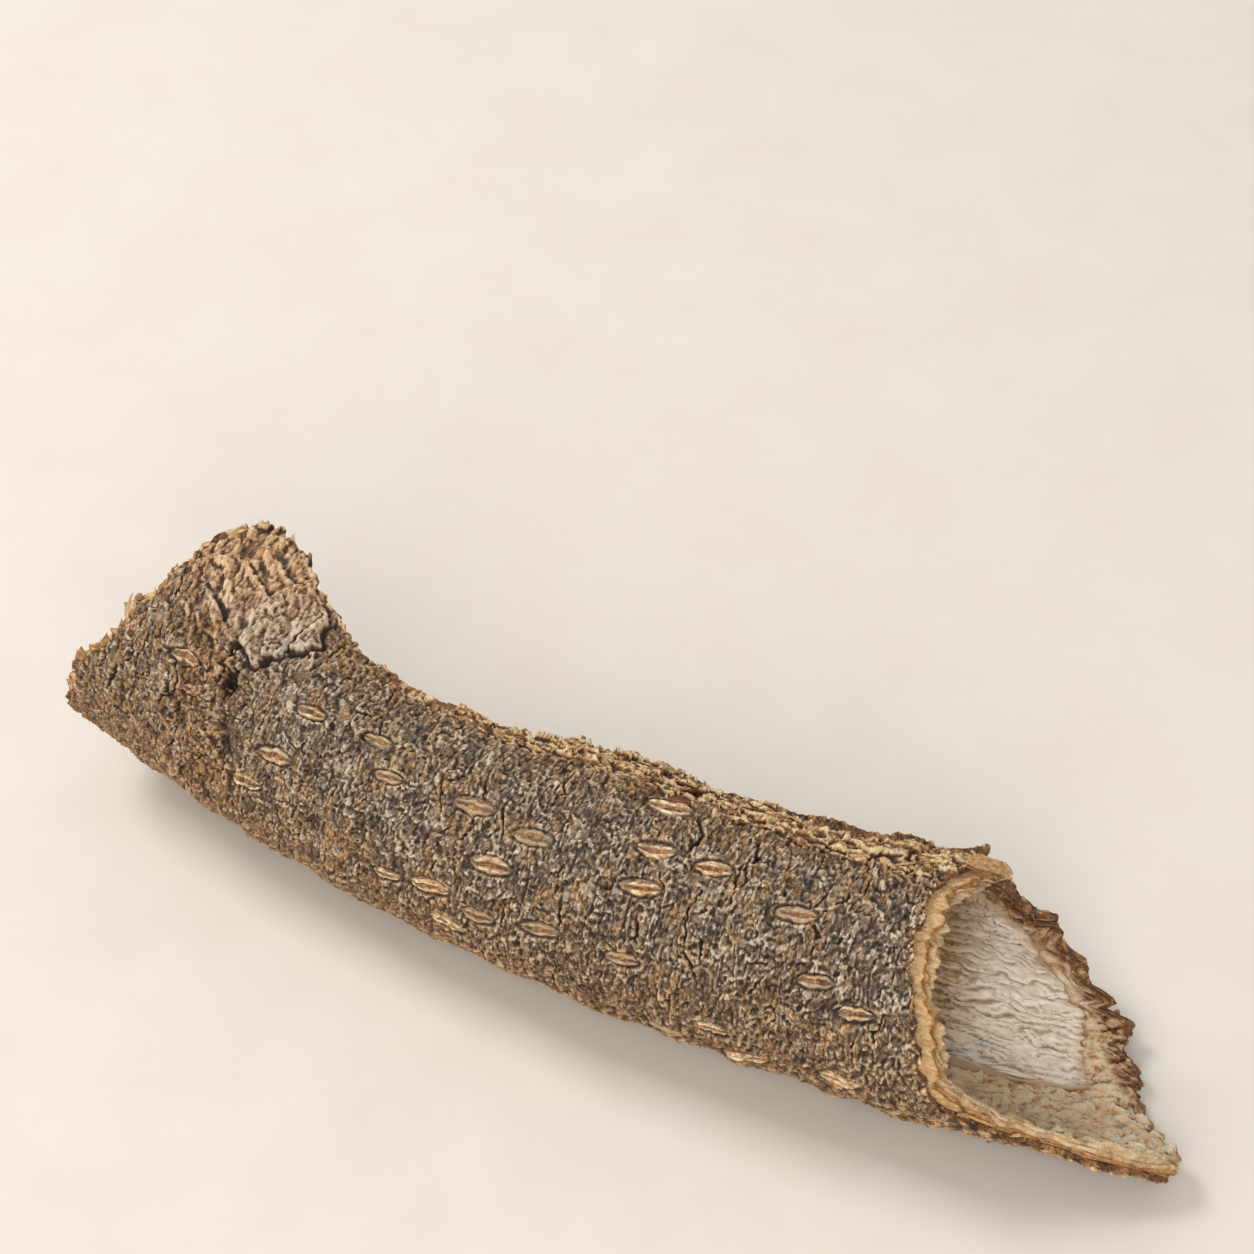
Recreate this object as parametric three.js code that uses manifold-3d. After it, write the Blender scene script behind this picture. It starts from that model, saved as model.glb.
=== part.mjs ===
// A dry piece of tree bark, curled lengthwise into an open quill.
// Its outer face has low ridges, corky lenticels and the flared collar of a lost twig. Every edge is torn.
// Lengths are millimetres and angles are degrees.
// X runs along the quill to its pointed tongue, Y to the back and Z up.
// The origin is on the worn flat that the quill rests on.
// An angle round the quill is 0 at the front, 90 at the top, 180 at the back and -90 at the floor.

import * as THREE from "three";
import { mergeVertices } from "three/addons/utils/BufferGeometryUtils.js";
import Module from "manifold-3d";

const wasm = await Module();
wasm.setup();

// The curled sheet
const WALL = 2.6;
const SHEET_LENGTH = 120;
const RADIUS = 15;
const RADIUS_TAPER = 0.013;
const SETTLE = 0.7;
const LIFT = { start: -25, run: 50, rise: 6, power: 1.5 };
const BOW = [[-75, 5], [-40, 1.5], [-5, 0], [35, 3.9], [80, 13]];

// The collar of the lost twig, which flares up at the left end
const COLLAR = { x: -54, angle: 124, length: 13, spread: 42, rise: 11, lump: 1.2, lumpSize: 5 };

// Torn edges. The long edges give an angle for a share of the way along the sheet.
// The ends give a place along the quill for an angle.
const TOP_EDGE = [
  [0.06, 112], [0.17, 107], [0.31, 101], [0.42, 108], [0.56, 127], [0.68, 120], [0.89, 116], [1, 129],
];
const BACK_EDGE = [[0, -165], [0.27, -172], [0.52, -186], [0.77, -198], [0.93, -206]];
const LEFT_END = [[-215, -50], [-180, -54], [-90, -64], [-45, -68.5], [0, -68], [60, -61], [112, -53]];
const RIGHT_END = [
  [-215, 44], [-170, 54], [-140, 63], [-90, 70], [-50, 73], [-28, 62], [-8, 50], [40, 44.5], [90, 43],
  [140, 49],
];
const SPUR = { angle: 62, spread: 5, length: 1.8 };
const RAG = { depth: 1, length: 6, fineDepth: 0.7, fineLength: 2.4 };
const BEVEL = [[-215, -1.5], [-70, -1], [-30, 1], [140, 1.3]];
const EDGE_ZONE = 0.14;

// Relief of the outer face. Ridges run round the quill.
const SWELL = { height: 0.35, along: 15, round: 12 };
const RIDGE = { height: 0.4, along: 3.6, round: 9 };

// Lenticels, as places along the quill and angles. Those out of the front view follow an even spread.
const LENTICEL = { length: 4.6, width: 1.9, height: 0.62, sink: 0.12, slant: 10, sides: 6, steps: 4 };
const LENTICEL_SCALE = { least: 0.8, most: 1.25 };
const FRONT_LENTICELS = [
  [-52, 56], [-34, 65], [-25, 69], [-21.5, 56], [-36, 39], [-39, 19], [-10.5, 61], [-2.5, 58], [-6, 39],
  [-12.5, 16], [-18, 12], [-6, 13], [-10, -2], [10.5, 95], [11.5, 72], [11.5, 54], [18.5, 72], [11.5, 20],
  [1.5, 20], [2, -30], [17, -19], [29, 64], [33, 39], [38, 30], [22.5, -2], [37.5, -8], [26.5, -17],
];
const SPREAD = { count: 44, xFrom: -60, xTo: 64, angleFrom: -200, angleTo: -28, edgeGap: 4, floorGap: 22 };

// Grid cells of the outer face. The inner face has half as many each way.
const CELLS_ALONG = 64;
const CELLS_ROUND = 36;

// Seeds of the repeatable draws
const SEED = { swell: 1, ridge: 2, lump: 3, lenticelSize: 5 };
const RAG_SEED = { top: 11, back: 21, right: 31, left: 41 };

// The block that cuts the resting flat
const FLOOR_BLOCK = { width: 400, depth: 20 };

const BARK_COLOUR = 0x7a6a5c;

const radians = THREE.MathUtils.degToRad;
const degrees = THREE.MathUtils.radToDeg;
const lerp = THREE.MathUtils.lerp;
const clamp = THREE.MathUtils.clamp;

// A smooth curve through a list of [station, value] points.
function through(points, at) {
  const last = points.length - 1;
  const x = clamp(at, points[0][0], points[last][0]);
  let k = 0;
  while (k < last - 1 && x > points[k + 1][0]) k += 1;
  const slope = (i) => {
    const [x0, y0] = points[Math.max(i - 1, 0)];
    const [x1, y1] = points[Math.min(i + 1, last)];
    return (y1 - y0) / (x1 - x0);
  };
  const span = points[k + 1][0] - points[k][0];
  const t = (x - points[k][0]) / span;
  const rise = points[k + 1][1] - points[k][1];
  const startBend = slope(k) * span - rise;
  const endBend = rise - slope(k + 1) * span;
  return points[k][1] + rise * t + t * (1 - t) * (startBend * (1 - t) + endBend * t);
}

// A repeatable draw from 0 to 1 for a lattice point.
function draw(i, j, seed) {
  const wave = Math.sin(i * 127.1 + j * 311.7 + seed * 74.7) * 43758.5453;
  return wave - Math.floor(wave);
}

// Smooth noise from -1 to 1, with one draw for each unit of x and y.
function grain(x, y, seed) {
  const i = Math.floor(x);
  const j = Math.floor(y);
  const u = THREE.MathUtils.smoothstep(x - i, 0, 1);
  const v = THREE.MathUtils.smoothstep(y - j, 0, 1);
  const low = lerp(draw(i, j, seed), draw(i + 1, j, seed), u);
  const high = lerp(draw(i, j + 1, seed), draw(i + 1, j + 1, seed), u);
  return 2 * lerp(low, high, v) - 1;
}

// The quill's smooth body
const bodyRadius = (x) => RADIUS + RADIUS_TAPER * x;
const arc = (angle) => radians(angle) * RADIUS;
const lift = (x) => LIFT.rise * Math.max(0, (LIFT.start - x) / LIFT.run) ** LIFT.power;

function collar(x, angle) {
  const along = (x - COLLAR.x) / COLLAR.length;
  const round = (angle - COLLAR.angle) / COLLAR.spread;
  const share = Math.exp(-along * along - round * round);
  const lumps = COLLAR.lump * grain(x / COLLAR.lumpSize, arc(angle) / COLLAR.lumpSize, SEED.lump);
  return share * (COLLAR.rise + lumps);
}

function relief(x, angle) {
  const swell = SWELL.height * grain(x / SWELL.along, arc(angle) / SWELL.round, SEED.swell);
  const ridges = RIDGE.height * grain(x / RIDGE.along, arc(angle) / RIDGE.round, SEED.ridge);
  return swell + ridges;
}

// A point of the quill, a depth below its smooth outer face, on a section square to its bowed spine.
function quillPoint(x, angle, depth) {
  const radius = bodyRadius(x) + collar(x, angle) - depth;
  const slope = through(BOW, x + 0.5) - through(BOW, x - 0.5);
  const forward = (radius * Math.cos(radians(angle))) / Math.hypot(1, slope);
  const height = bodyRadius(x) - SETTLE + lift(x) + radius * Math.sin(radians(angle));
  return new THREE.Vector3(x + forward * slope, through(BOW, x) - forward, height);
}

const outerPoint = (x, angle) => quillPoint(x, angle, -relief(x, angle));
const innerPoint = (x, angle) => quillPoint(x, angle, WALL);

// The torn outline. A rag is how far the tear stands out from its edge's smooth line.
function rag(place, seed) {
  const coarse = RAG.depth * grain(place / RAG.length, 0.5, seed);
  const fine = RAG.fineDepth * grain(place / RAG.fineLength, 0.5, seed + 1);
  return coarse + fine;
}

function leftEnd(angle) {
  const away = (angle - SPUR.angle) / SPUR.spread;
  return through(LEFT_END, angle) - SPUR.length * Math.exp(-away * away);
}

// Where a share u along and a share v round the sheet lies, with a bevel share of 1 on the inner face.
function sheetPlace(u, v, bevelShare) {
  const nearEdge = (share) => THREE.MathUtils.smoothstep(share, 1 - EDGE_ZONE, 1);
  const station = SHEET_LENGTH * u;
  const sideRag = rag(station, RAG_SEED.top) * nearEdge(v) - rag(station, RAG_SEED.back) * nearEdge(1 - v);
  const angle = lerp(through(BACK_EDGE, u), through(TOP_EDGE, u), v) + degrees(sideRag / RADIUS);
  const bevel = bevelShare * through(BEVEL, angle) * nearEdge(u);
  const rightRag = rag(arc(angle), RAG_SEED.right) * nearEdge(u);
  const leftRag = rag(arc(angle), RAG_SEED.left) * nearEdge(1 - u);
  const x = lerp(leftEnd(angle), through(RIGHT_END, angle), u) + bevel + rightRag - leftRag;
  return [x, angle];
}

// A closed solid from a geometry, with its shared corners merged, ready to be joined and cut.
function solid(geometry) {
  const bare = geometry.clone();
  bare.deleteAttribute("normal");
  bare.deleteAttribute("uv");
  const merged = mergeVertices(bare);
  const vertProperties = new Float32Array(merged.attributes.position.array);
  const triVerts = new Uint32Array(merged.index.array);
  return new wasm.Manifold(new wasm.Mesh({ numProp: 3, vertProperties, triVerts }));
}

// The sheet: a fine outer face, a coarser inner face and the torn rim between them.
function sheetGeometry() {
  const positions = [];
  const faces = [];
  const addGrid = (step, point, bevelShare) => {
    const first = positions.length / 3;
    const rows = CELLS_ROUND / step + 1;
    for (let i = 0; i <= CELLS_ALONG; i += step) {
      for (let j = 0; j <= CELLS_ROUND; j += step) {
        const [x, angle] = sheetPlace(i / CELLS_ALONG, j / CELLS_ROUND, bevelShare);
        positions.push(...point(x, angle).toArray());
      }
    }
    return (i, j) => first + (i / step) * rows + j / step;
  };
  const outer = addGrid(1, outerPoint, 0);
  const inner = addGrid(2, innerPoint, 1);

  for (let i = 0; i < CELLS_ALONG; i += 1) {
    for (let j = 0; j < CELLS_ROUND; j += 1) {
      faces.push(outer(i, j), outer(i + 1, j), outer(i + 1, j + 1));
      faces.push(outer(i, j), outer(i + 1, j + 1), outer(i, j + 1));
    }
  }
  for (let i = 0; i < CELLS_ALONG; i += 2) {
    for (let j = 0; j < CELLS_ROUND; j += 2) {
      faces.push(inner(i, j), inner(i + 2, j + 2), inner(i + 2, j));
      faces.push(inner(i, j), inner(i, j + 2), inner(i + 2, j + 2));
    }
  }
  for (const [start, middle, end] of rimSteps()) {
    faces.push(outer(...middle), outer(...start), inner(...start));
    faces.push(outer(...end), outer(...middle), inner(...end));
    faces.push(outer(...middle), inner(...start), inner(...end));
  }
  const geometry = new THREE.BufferGeometry();
  geometry.setAttribute("position", new THREE.Float32BufferAttribute(positions, 3));
  geometry.setIndex(faces);
  return geometry;
}

// Grid places round the sheet's outline, two cells at a time: start, middle and end.
function rimSteps() {
  const steps = [];
  for (let i = 0; i < CELLS_ALONG; i += 2) {
    const back = CELLS_ALONG - i;
    steps.push([[i, 0], [i + 1, 0], [i + 2, 0]]);
    steps.push([[back, CELLS_ROUND], [back - 1, CELLS_ROUND], [back - 2, CELLS_ROUND]]);
  }
  for (let j = 0; j < CELLS_ROUND; j += 2) {
    const back = CELLS_ROUND - j;
    steps.push([[CELLS_ALONG, j], [CELLS_ALONG, j + 1], [CELLS_ALONG, j + 2]]);
    steps.push([[0, back], [0, back - 1], [0, back - 2]]);
  }
  return steps;
}

// Van der Corput's even spread of the numbers from 0 to 1.
function evenSpread(index, base) {
  let share = 0;
  let weight = 1 / base;
  for (let rest = index; rest > 0; rest = Math.floor(rest / base)) {
    share += (rest % base) * weight;
    weight /= base;
  }
  return share;
}

// Lenticels out of the front view keep clear of the torn edges and of the flat that the quill rests on.
function hiddenLenticels() {
  const places = [];
  for (let k = 1; k <= SPREAD.count; k += 1) {
    const x = lerp(SPREAD.xFrom, SPREAD.xTo, evenSpread(k, 2));
    const angle = lerp(SPREAD.angleFrom, SPREAD.angleTo, evenSpread(k, 3));
    const fromLeft = x - through(LEFT_END, angle);
    const fromRight = through(RIGHT_END, angle) - x;
    const fromBack = arc(angle - through(BACK_EDGE, fromLeft / (fromLeft + fromRight)));
    const onSheet = Math.min(fromLeft, fromRight, fromBack) > SPREAD.edgeGap;
    if (onSheet && Math.abs(angle + 90) > SPREAD.floorGap) places.push([x, angle]);
  }
  return places;
}

// One lenticel: a low lens that lies along the quill, sunk into the outer face.
function lenticel(x, angle, index) {
  const size = lerp(LENTICEL_SCALE.least, LENTICEL_SCALE.most, draw(index, 0, SEED.lenticelSize));
  const lens = new THREE.SphereGeometry(1, LENTICEL.sides, LENTICEL.steps);
  lens.rotateZ(Math.PI / 2);
  lens.scale((LENTICEL.length / 2) * size, (LENTICEL.width / 2) * size, LENTICEL.height);
  lens.rotateZ(radians(LENTICEL.slant));

  const here = outerPoint(x, angle);
  const along = quillPoint(x + 1, angle, 0).sub(quillPoint(x - 1, angle, 0)).normalize();
  const round = quillPoint(x, angle + 2, 0).sub(quillPoint(x, angle - 2, 0)).normalize();
  const outward = new THREE.Vector3().crossVectors(along, round).normalize();
  round.crossVectors(outward, along);
  here.addScaledVector(outward, -LENTICEL.sink);
  lens.applyMatrix4(new THREE.Matrix4().makeBasis(along, round, outward).setPosition(here));
  return solid(lens);
}

// The floor side of the sheet is worn flat, so all below the resting plane is cut away.
function floorBlock() {
  const block = new THREE.BoxGeometry(FLOOR_BLOCK.width, FLOOR_BLOCK.width, FLOOR_BLOCK.depth);
  block.translate(0, 0, -FLOOR_BLOCK.depth / 2);
  return solid(block);
}

function barkMesh() {
  let body = solid(sheetGeometry());
  const places = [...FRONT_LENTICELS, ...hiddenLenticels()];
  places.forEach(([x, angle], index) => {
    body = body.add(lenticel(x, angle, index));
  });
  body = body.subtract(floorBlock());

  const { vertProperties, triVerts } = body.getMesh();
  const geometry = new THREE.BufferGeometry();
  geometry.setAttribute("position", new THREE.BufferAttribute(vertProperties, 3));
  geometry.setIndex(new THREE.BufferAttribute(triVerts, 1));
  geometry.computeVertexNormals();
  const material = new THREE.MeshStandardMaterial({ color: BARK_COLOUR, roughness: 0.9, metalness: 0 });
  const mesh = new THREE.Mesh(geometry, material);
  mesh.name = "bark";
  return mesh;
}

const piece = new THREE.Group();
piece.add(barkMesh());
export default piece;
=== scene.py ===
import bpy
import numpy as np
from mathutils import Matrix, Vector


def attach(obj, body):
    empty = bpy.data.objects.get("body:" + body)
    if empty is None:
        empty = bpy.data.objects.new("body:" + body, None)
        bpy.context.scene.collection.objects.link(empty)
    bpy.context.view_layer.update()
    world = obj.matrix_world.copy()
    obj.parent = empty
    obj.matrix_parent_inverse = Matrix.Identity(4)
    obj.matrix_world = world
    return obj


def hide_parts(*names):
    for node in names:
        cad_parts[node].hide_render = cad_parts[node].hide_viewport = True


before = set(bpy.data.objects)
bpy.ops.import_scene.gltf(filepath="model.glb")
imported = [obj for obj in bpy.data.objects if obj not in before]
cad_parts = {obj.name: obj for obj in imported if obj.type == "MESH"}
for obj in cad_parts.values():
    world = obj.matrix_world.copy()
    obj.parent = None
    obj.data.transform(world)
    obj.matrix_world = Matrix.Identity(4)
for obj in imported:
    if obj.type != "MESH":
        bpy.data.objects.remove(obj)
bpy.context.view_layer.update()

# The look of a dry piece of tree bark that is curled into an open quill.
# Three layers repeat the solid's form: the rough outer bark, the fibrous inner bark and a papery lining.
# Lenticels and torn chips stand on them.
# Lengths are millimetres and angles are degrees until a mesh is made. X runs along the quill, Z is up.
# An angle round the quill is 0 at the front, 90 at the top, 180 at the back and -90 at the floor.

MM = 0.001

# The curled sheet, as in the solid
WALL = 2.6
SHEET_LENGTH = 120
RADIUS = 15
RADIUS_TAPER = 0.013
SETTLE = 0.7
LIFT_START, LIFT_RUN, LIFT_RISE, LIFT_POWER = -25, 50, 6, 1.5
BOW = [(-75, 5), (-40, 1.5), (-5, 0), (35, 3.9), (80, 13)]
COLLAR = {"x": -54, "length": 13, "angle": 124, "spread": 42}
COLLAR_RISE, COLLAR_LUMP, COLLAR_LUMP_SIZE = 11, 1.2, 5
TOP_EDGE = [
    (0.06, 112), (0.17, 107), (0.31, 101), (0.42, 108), (0.56, 127), (0.68, 120), (0.89, 116), (1, 129),
]
BACK_EDGE = [(0, -165), (0.27, -172), (0.52, -186), (0.77, -198), (0.93, -206)]
LEFT_END = [(-215, -50), (-180, -54), (-90, -64), (-45, -68.5), (0, -68), (60, -61), (112, -53)]
RIGHT_END = [
    (-215, 44), (-170, 54), (-140, 63), (-90, 70), (-50, 73),
    (-28, 62), (-8, 50), (40, 44.5), (90, 43), (140, 49),
]
SPUR_ANGLE, SPUR_SPREAD, SPUR_LENGTH = 62, 5, 1.8
RAG_DEPTH, RAG_LENGTH, RAG_FINE_DEPTH, RAG_FINE_LENGTH = 1, 6, 0.7, 2.4
EDGE_ZONE = 0.14
SHEET_ROUND = 80
SWELL_HEIGHT, SWELL_ALONG, SWELL_ROUND = 0.35, 15, 12
RIDGE_HEIGHT, RIDGE_ALONG, RIDGE_ROUND = 0.4, 3.6, 9
SWELL_SEED, RIDGE_SEED, LUMP_SEED = 1, 2, 3
RAG_SEED = {"top": 11, "back": 21, "right": 31, "left": 41}

# Lenticels: their places as in the solid, and the cells, rise and root of each one's mesh
LENTICEL_LENGTH, LENTICEL_WIDTH, LENTICEL_SLANT = 4.6, 1.9, 10
SLANT_COS, SLANT_SIN = np.cos(np.radians(LENTICEL_SLANT)), np.sin(np.radians(LENTICEL_SLANT))
LENTICEL_LEAST, LENTICEL_MOST, LENTICEL_SEED = 0.8, 1.25, 5
FRONT_LENTICELS = [
    (-52, 56), (-34, 65), (-25, 69), (-21.5, 56), (-36, 39), (-39, 19), (-10.5, 61), (-2.5, 58), (-6, 39),
    (-12.5, 16), (-18, 12), (-6, 13), (-10, -2), (10.5, 95), (11.5, 72), (11.5, 54), (18.5, 72), (11.5, 20),
    (1.5, 20), (2, -30), (17, -19), (29, 64), (33, 39), (38, 30), (22.5, -2), (37.5, -8), (26.5, -17),
]
SPREAD_COUNT, SPREAD_X, SPREAD_ANGLE = 44, (-60, 64), (-200, -28)
SPREAD_EDGE_GAP, SPREAD_FLOOR_GAP = 4, 22
LENS_ALONG, LENS_ROUND = 22, 12
LENS_RISE, LENS_ROOT = 0.5, 0.8

# The outer bark: its cells, the share of the sheet its back patch covers, its length and its depth
FACE_CELLS, BACK_CELLS, BACK_SHARE, CORK_LENGTH = (280, 296), (376, 136), 0.36, 118
CORK, CORK_EDGE, CORK_LEAST = 1.4, 0.75, 0.18
# One point of the underside for so many of the face
UNDER_STEP = 8
# Cells of the relief's grid beyond a patch's border, and the windows that tell crests from hollows
RELIEF_MARGIN, CREST_WINDOW, HOLLOW_WINDOW = 8, 2, 7
# Drop at a flake's free edge as a share of its run, and how ragged a slab's border is
FLAKE_DROP, SLAB_RAGGED = 0.12, 0.35

# The inner bark: its cells, where they crowd as (share of the cells, share of the sheet),
# its leaves and the rows of points on the edge of each leaf
BAST_CELLS = 150, 240
BAST_SPREAD = (
    ((0, 0), (0.48, 0.8), (1, 1)),
    ((0, 0), (0.12, 0.22), (0.48, 0.52), (0.92, 0.95), (1, 1)),
)
LEAVES, LEAF_ROWS = 3, 5

# The lining: its cells, thickness, distance from the sheet's edges, and where it is torn off at the right end
LINING_CELLS, LINING_STEP = (172, 260), 4
LINING_SPREAD = ((0, 0), (0.35, 0.72), (1, 1)), ((0, 0), (0.72, 0.46), (1, 1))
LINING, LINING_SETBACK, LINING_LENGTH, LINING_ROUND = 0.22, 2.5, 110, 76
LINING_RIGHT = [
    (-215, 39), (-190, 45), (-176, 48.5), (-157, 53.5), (-140, 58), (-126, 60), (-100, 62),
    (-88, 61), (-82, 44), (-74, 34), (-40, 30), (40, 30), (120, 30),
]
# How far the inner bark lies back under the lining, and the least thickness of the lining above it
LINING_BED, LINING_LEAST = -0.25, 0.12

# How far each layer's torn edge stands out past the solid's edge, by angle at the right end
CORK_RIGHT = [(-215, -0.6), (-110, -0.8), (-70, 0.0), (-40, -0.2), (140, -0.5)]
BAST_RIGHT_OUTER = [(-215, -1.0), (-120, -1.0), (-70, -0.4), (-45, 0.2), (-20, 0.6), (140, 0.5)]
BAST_RIGHT_INNER = [(-215, -1.3), (-120, -1.3), (-70, -0.4), (-45, 0.5), (-20, 1.3), (140, 1.3)]
# How wide a strip at the top edge has lost the outer bark's face, by share of the way along
TORN_STRIP = [
    (0, 0.6), (0.28, 0.6), (0.36, 2.4), (0.45, 4.4), (0.56, 6.4), (0.7, 5.0), (0.85, 4.6), (1, 6.0),
]
# The far rim: where it begins, how far it is brown, and its folds
FAR_ANGLE, FAR_RUN, FAR_BROWN = -72, 30, 6.5
FOLD_REACH, FOLD_HEIGHT, FOLD_LENGTH, FOLD_WIDTH, FOLD_SEED = 6, 1.3, 1.2, 1.9, 641

# Cracks of the outer bark. A main one has a start and an end, as place along and angle.
MAIN_CRACKS = [
    ((15.5, 96), (16, 72)), ((22, 96), (22.3, 67)), ((12, 47), (13.2, 29)), ((17.3, 49), (20.2, 18)),
    ((30.5, 79), (32.5, 44)), ((-58, 50), (-61, 16)),
]
MAIN_CRACK_WIDTH, LENTICEL_CRACK_WIDTH, SPREAD_CRACK_WIDTH = 0.28, 0.15, (0.08, 0.2)
LENTICEL_CRACK_SHARE = 0.45
SPREAD_CRACKS, SPREAD_CRACK_X, SPREAD_CRACK_ANGLE = 179, (-64, 66), (-205, 120)
# The crease that runs down from the collar, as angle and place along
CREASE = [(-12, -40), (24, -42), (41, -44), (56, -44), (72, -46), (78, -49), (87, -54)]
# The large loose plate at the foot of the collar: place, half length, half width and lift
COLLAR_PLATE = (-43.5, 92, 4.8, 5.4, 0.8)
CREASE_PLATES, FACE_PLATES, PLATE_SIDES = 14, 60, 6
# The pale ridge of the collar
PINK = {"x": -47, "length": 8.5, "angle": 108, "spread": 34}

# Torn chips. A chip is x, angle, depth, size, turn, tilt, curl, thickness and tint.
CHIP_SECTORS, CHIP_RINGS, CHIP_STRETCH = 14, 3, 2.1
# The flap that hangs over the near wall's upper right corner
CORNER_FLAP = [46.4, 116, 0.0, 1.45, -4, 6, 0.3, 0.6, 0.6]

# Low and high corners, on the baking map, of a sheet's outer face, inner face and rim
FINE_FACE_CHARTS = {
    "outer": ((0.01, 0.17), (0.99, 0.99)),
    "inner": ((0.01, 0.01), (0.48, 0.15)),
    "rim": ((0.5, 0.01), (0.99, 0.15)),
}
EVEN_CHARTS = {
    "outer": ((0.01, 0.58), (0.99, 0.99)),
    "inner": ((0.01, 0.15), (0.99, 0.56)),
    "rim": ((0.01, 0.01), (0.99, 0.13)),
}
# Share of its cell of the baking map that one of many like pieces fills
CELL_FILL = 0.94

# The studio, in metres
FLOOR_SIZE, FLOOR_MOTTLE = 6, 60.0
WORLD_COLOUR, WORLD_STRENGTH = (1.0, 0.955, 0.895, 1.0), 0.46
KEY_LIGHT = {"place": (-0.72, 0.02, 0.78), "size": 0.36, "power": 5.8, "colour": (1.0, 0.99, 0.975)}
FILL_LIGHT = {"place": (0.3, -0.78, 0.65), "size": 0.9, "power": 6.3, "colour": (1.0, 0.97, 0.93)}
# The camera: its turn about Z, its height angle and its framing
CAMERA_AZIMUTH, CAMERA_ELEVATION = 30.0, 46.0
CAMERA_LENS, CAMERA_SENSOR, CAMERA_NEAR = 80.0, 36.0, 10
CAMERA_DISTANCE, CAMERA_ACROSS, CAMERA_UP = 350.0, 0.9, 34.0
CAMERA_AIM = (0.0, 8.5, -0.7)


# Curves, draws and noise

def through(points, at):
    """A smooth curve through a list of (station, value) points."""
    stations, values = np.array(points, float).T
    before = np.maximum(np.arange(len(points)) - 1, 0)
    after = np.minimum(np.arange(len(points)) + 1, len(points) - 1)
    slope = (values[after] - values[before]) / (stations[after] - stations[before])
    x = np.clip(at, stations[0], stations[-1])
    k = np.clip(np.searchsorted(stations, x) - 1, 0, len(points) - 2)
    span = stations[k + 1] - stations[k]
    rise = values[k + 1] - values[k]
    t = (x - stations[k]) / span
    start_bend = slope[k] * span - rise
    end_bend = rise - slope[k + 1] * span
    return values[k] + rise * t + t * (1 - t) * (start_bend * (1 - t) + end_bend * t)


def lerp(a, b, t):
    return a + (b - a) * t


def smooth(t):
    t = np.clip(t, 0, 1)
    return t * t * (3 - 2 * t)


def hump(away, width):
    """1 at no distance away, falling to 0 in about twice the width."""
    return np.exp(-(away / width) ** 2)


def draw(i, j, seed):
    """A repeatable draw from 0 to 1 for a lattice point."""
    wave = np.sin(i * 127.1 + j * 311.7 + seed * 74.7) * 43758.5453
    return wave - np.floor(wave)


def grain(x, y, seed):
    """Smooth noise from -1 to 1, with one draw for each unit of x and y."""
    i = np.floor(x)
    j = np.floor(y)
    u = smooth(x - i)
    v = smooth(y - j)
    low = lerp(draw(i, j, seed), draw(i + 1, j, seed), u)
    high = lerp(draw(i, j + 1, seed), draw(i + 1, j + 1, seed), u)
    return 2 * lerp(low, high, v) - 1


def layered_grain(x, y, seed, octaves=4):
    """Noise from about -1 to 1 with finer and finer detail."""
    total = 0
    for octave in range(octaves):
        total = total + 0.55 ** octave * grain(x * 2 ** octave, y * 2 ** octave, seed + octave)
    return total / 1.6


def cells(x, y, seed):
    """Cell noise: the nearest cell's own draw from 0 to 1, and how far along its own slope a place is."""
    i = np.floor(x)
    j = np.floor(y)
    nearest = np.full(np.shape(x), 9.0)
    own = np.zeros(np.shape(x))
    tilt = np.zeros(np.shape(x))
    for across in (-1, 0, 1):
        for up in (-1, 0, 1):
            from_x = x - i - across - draw(i + across, j + up, seed)
            from_y = y - j - up - draw(i + across, j + up, seed + 0.5)
            distance = np.hypot(from_x, from_y)
            turn = 2 * np.pi * draw(i + across, j + up, seed + 0.75)
            closer = distance < nearest
            own = np.where(closer, draw(i + across, j + up, seed + 0.25), own)
            tilt = np.where(closer, from_x * np.cos(turn) + from_y * np.sin(turn), tilt)
            nearest = np.where(closer, distance, nearest)
    return own, tilt


def even_spread(index, base):
    """Van der Corput's even spread of the numbers from 0 to 1."""
    share = 0
    weight = 1 / base
    while index > 0:
        share += (index % base) * weight
        index //= base
        weight /= base
    return share


def even_pair(k):
    return even_spread(k, 2), even_spread(k, 3)


# The quill's form

def body_radius(x):
    return RADIUS + RADIUS_TAPER * x


def arc(angle):
    return np.radians(angle) * RADIUS


def angle_at(arc_length):
    return np.degrees(arc_length / RADIUS)


def lift(x):
    return LIFT_RISE * np.maximum(0, (LIFT_START - x) / LIFT_RUN) ** LIFT_POWER


def patch_share(x, angle, patch):
    """1 at the middle of a patch of the sheet, falling off along and round."""
    along = (x - patch["x"]) / patch["length"]
    round_it = (angle - patch["angle"]) / patch["spread"]
    return np.exp(-along * along - round_it * round_it)


def collar(x, angle):
    lumps = COLLAR_LUMP * grain(x / COLLAR_LUMP_SIZE, arc(angle) / COLLAR_LUMP_SIZE, LUMP_SEED)
    return patch_share(x, angle, COLLAR) * (COLLAR_RISE + lumps)


def low_relief(x, angle):
    swell = SWELL_HEIGHT * grain(x / SWELL_ALONG, arc(angle) / SWELL_ROUND, SWELL_SEED)
    ribs = RIDGE_HEIGHT * grain(x / RIDGE_ALONG, arc(angle) / RIDGE_ROUND, RIDGE_SEED)
    return swell + ribs


def far_side(angle):
    return smooth((FAR_ANGLE - angle) / FAR_RUN)


def far_rim(x, angle, reach):
    """1 at the far side's torn right edge, falling to 0 at a reach from it."""
    return smooth(1 - (through(RIGHT_END, angle) - x) / reach) * far_side(angle)


def far_folds(angle):
    """Rounded folds along the far rim, from -0.5 in a notch to 1.7 on the highest crest."""
    return 2.2 * np.abs(grain(arc(angle) / FOLD_WIDTH, 0.5, FOLD_SEED)) - 0.5


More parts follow.
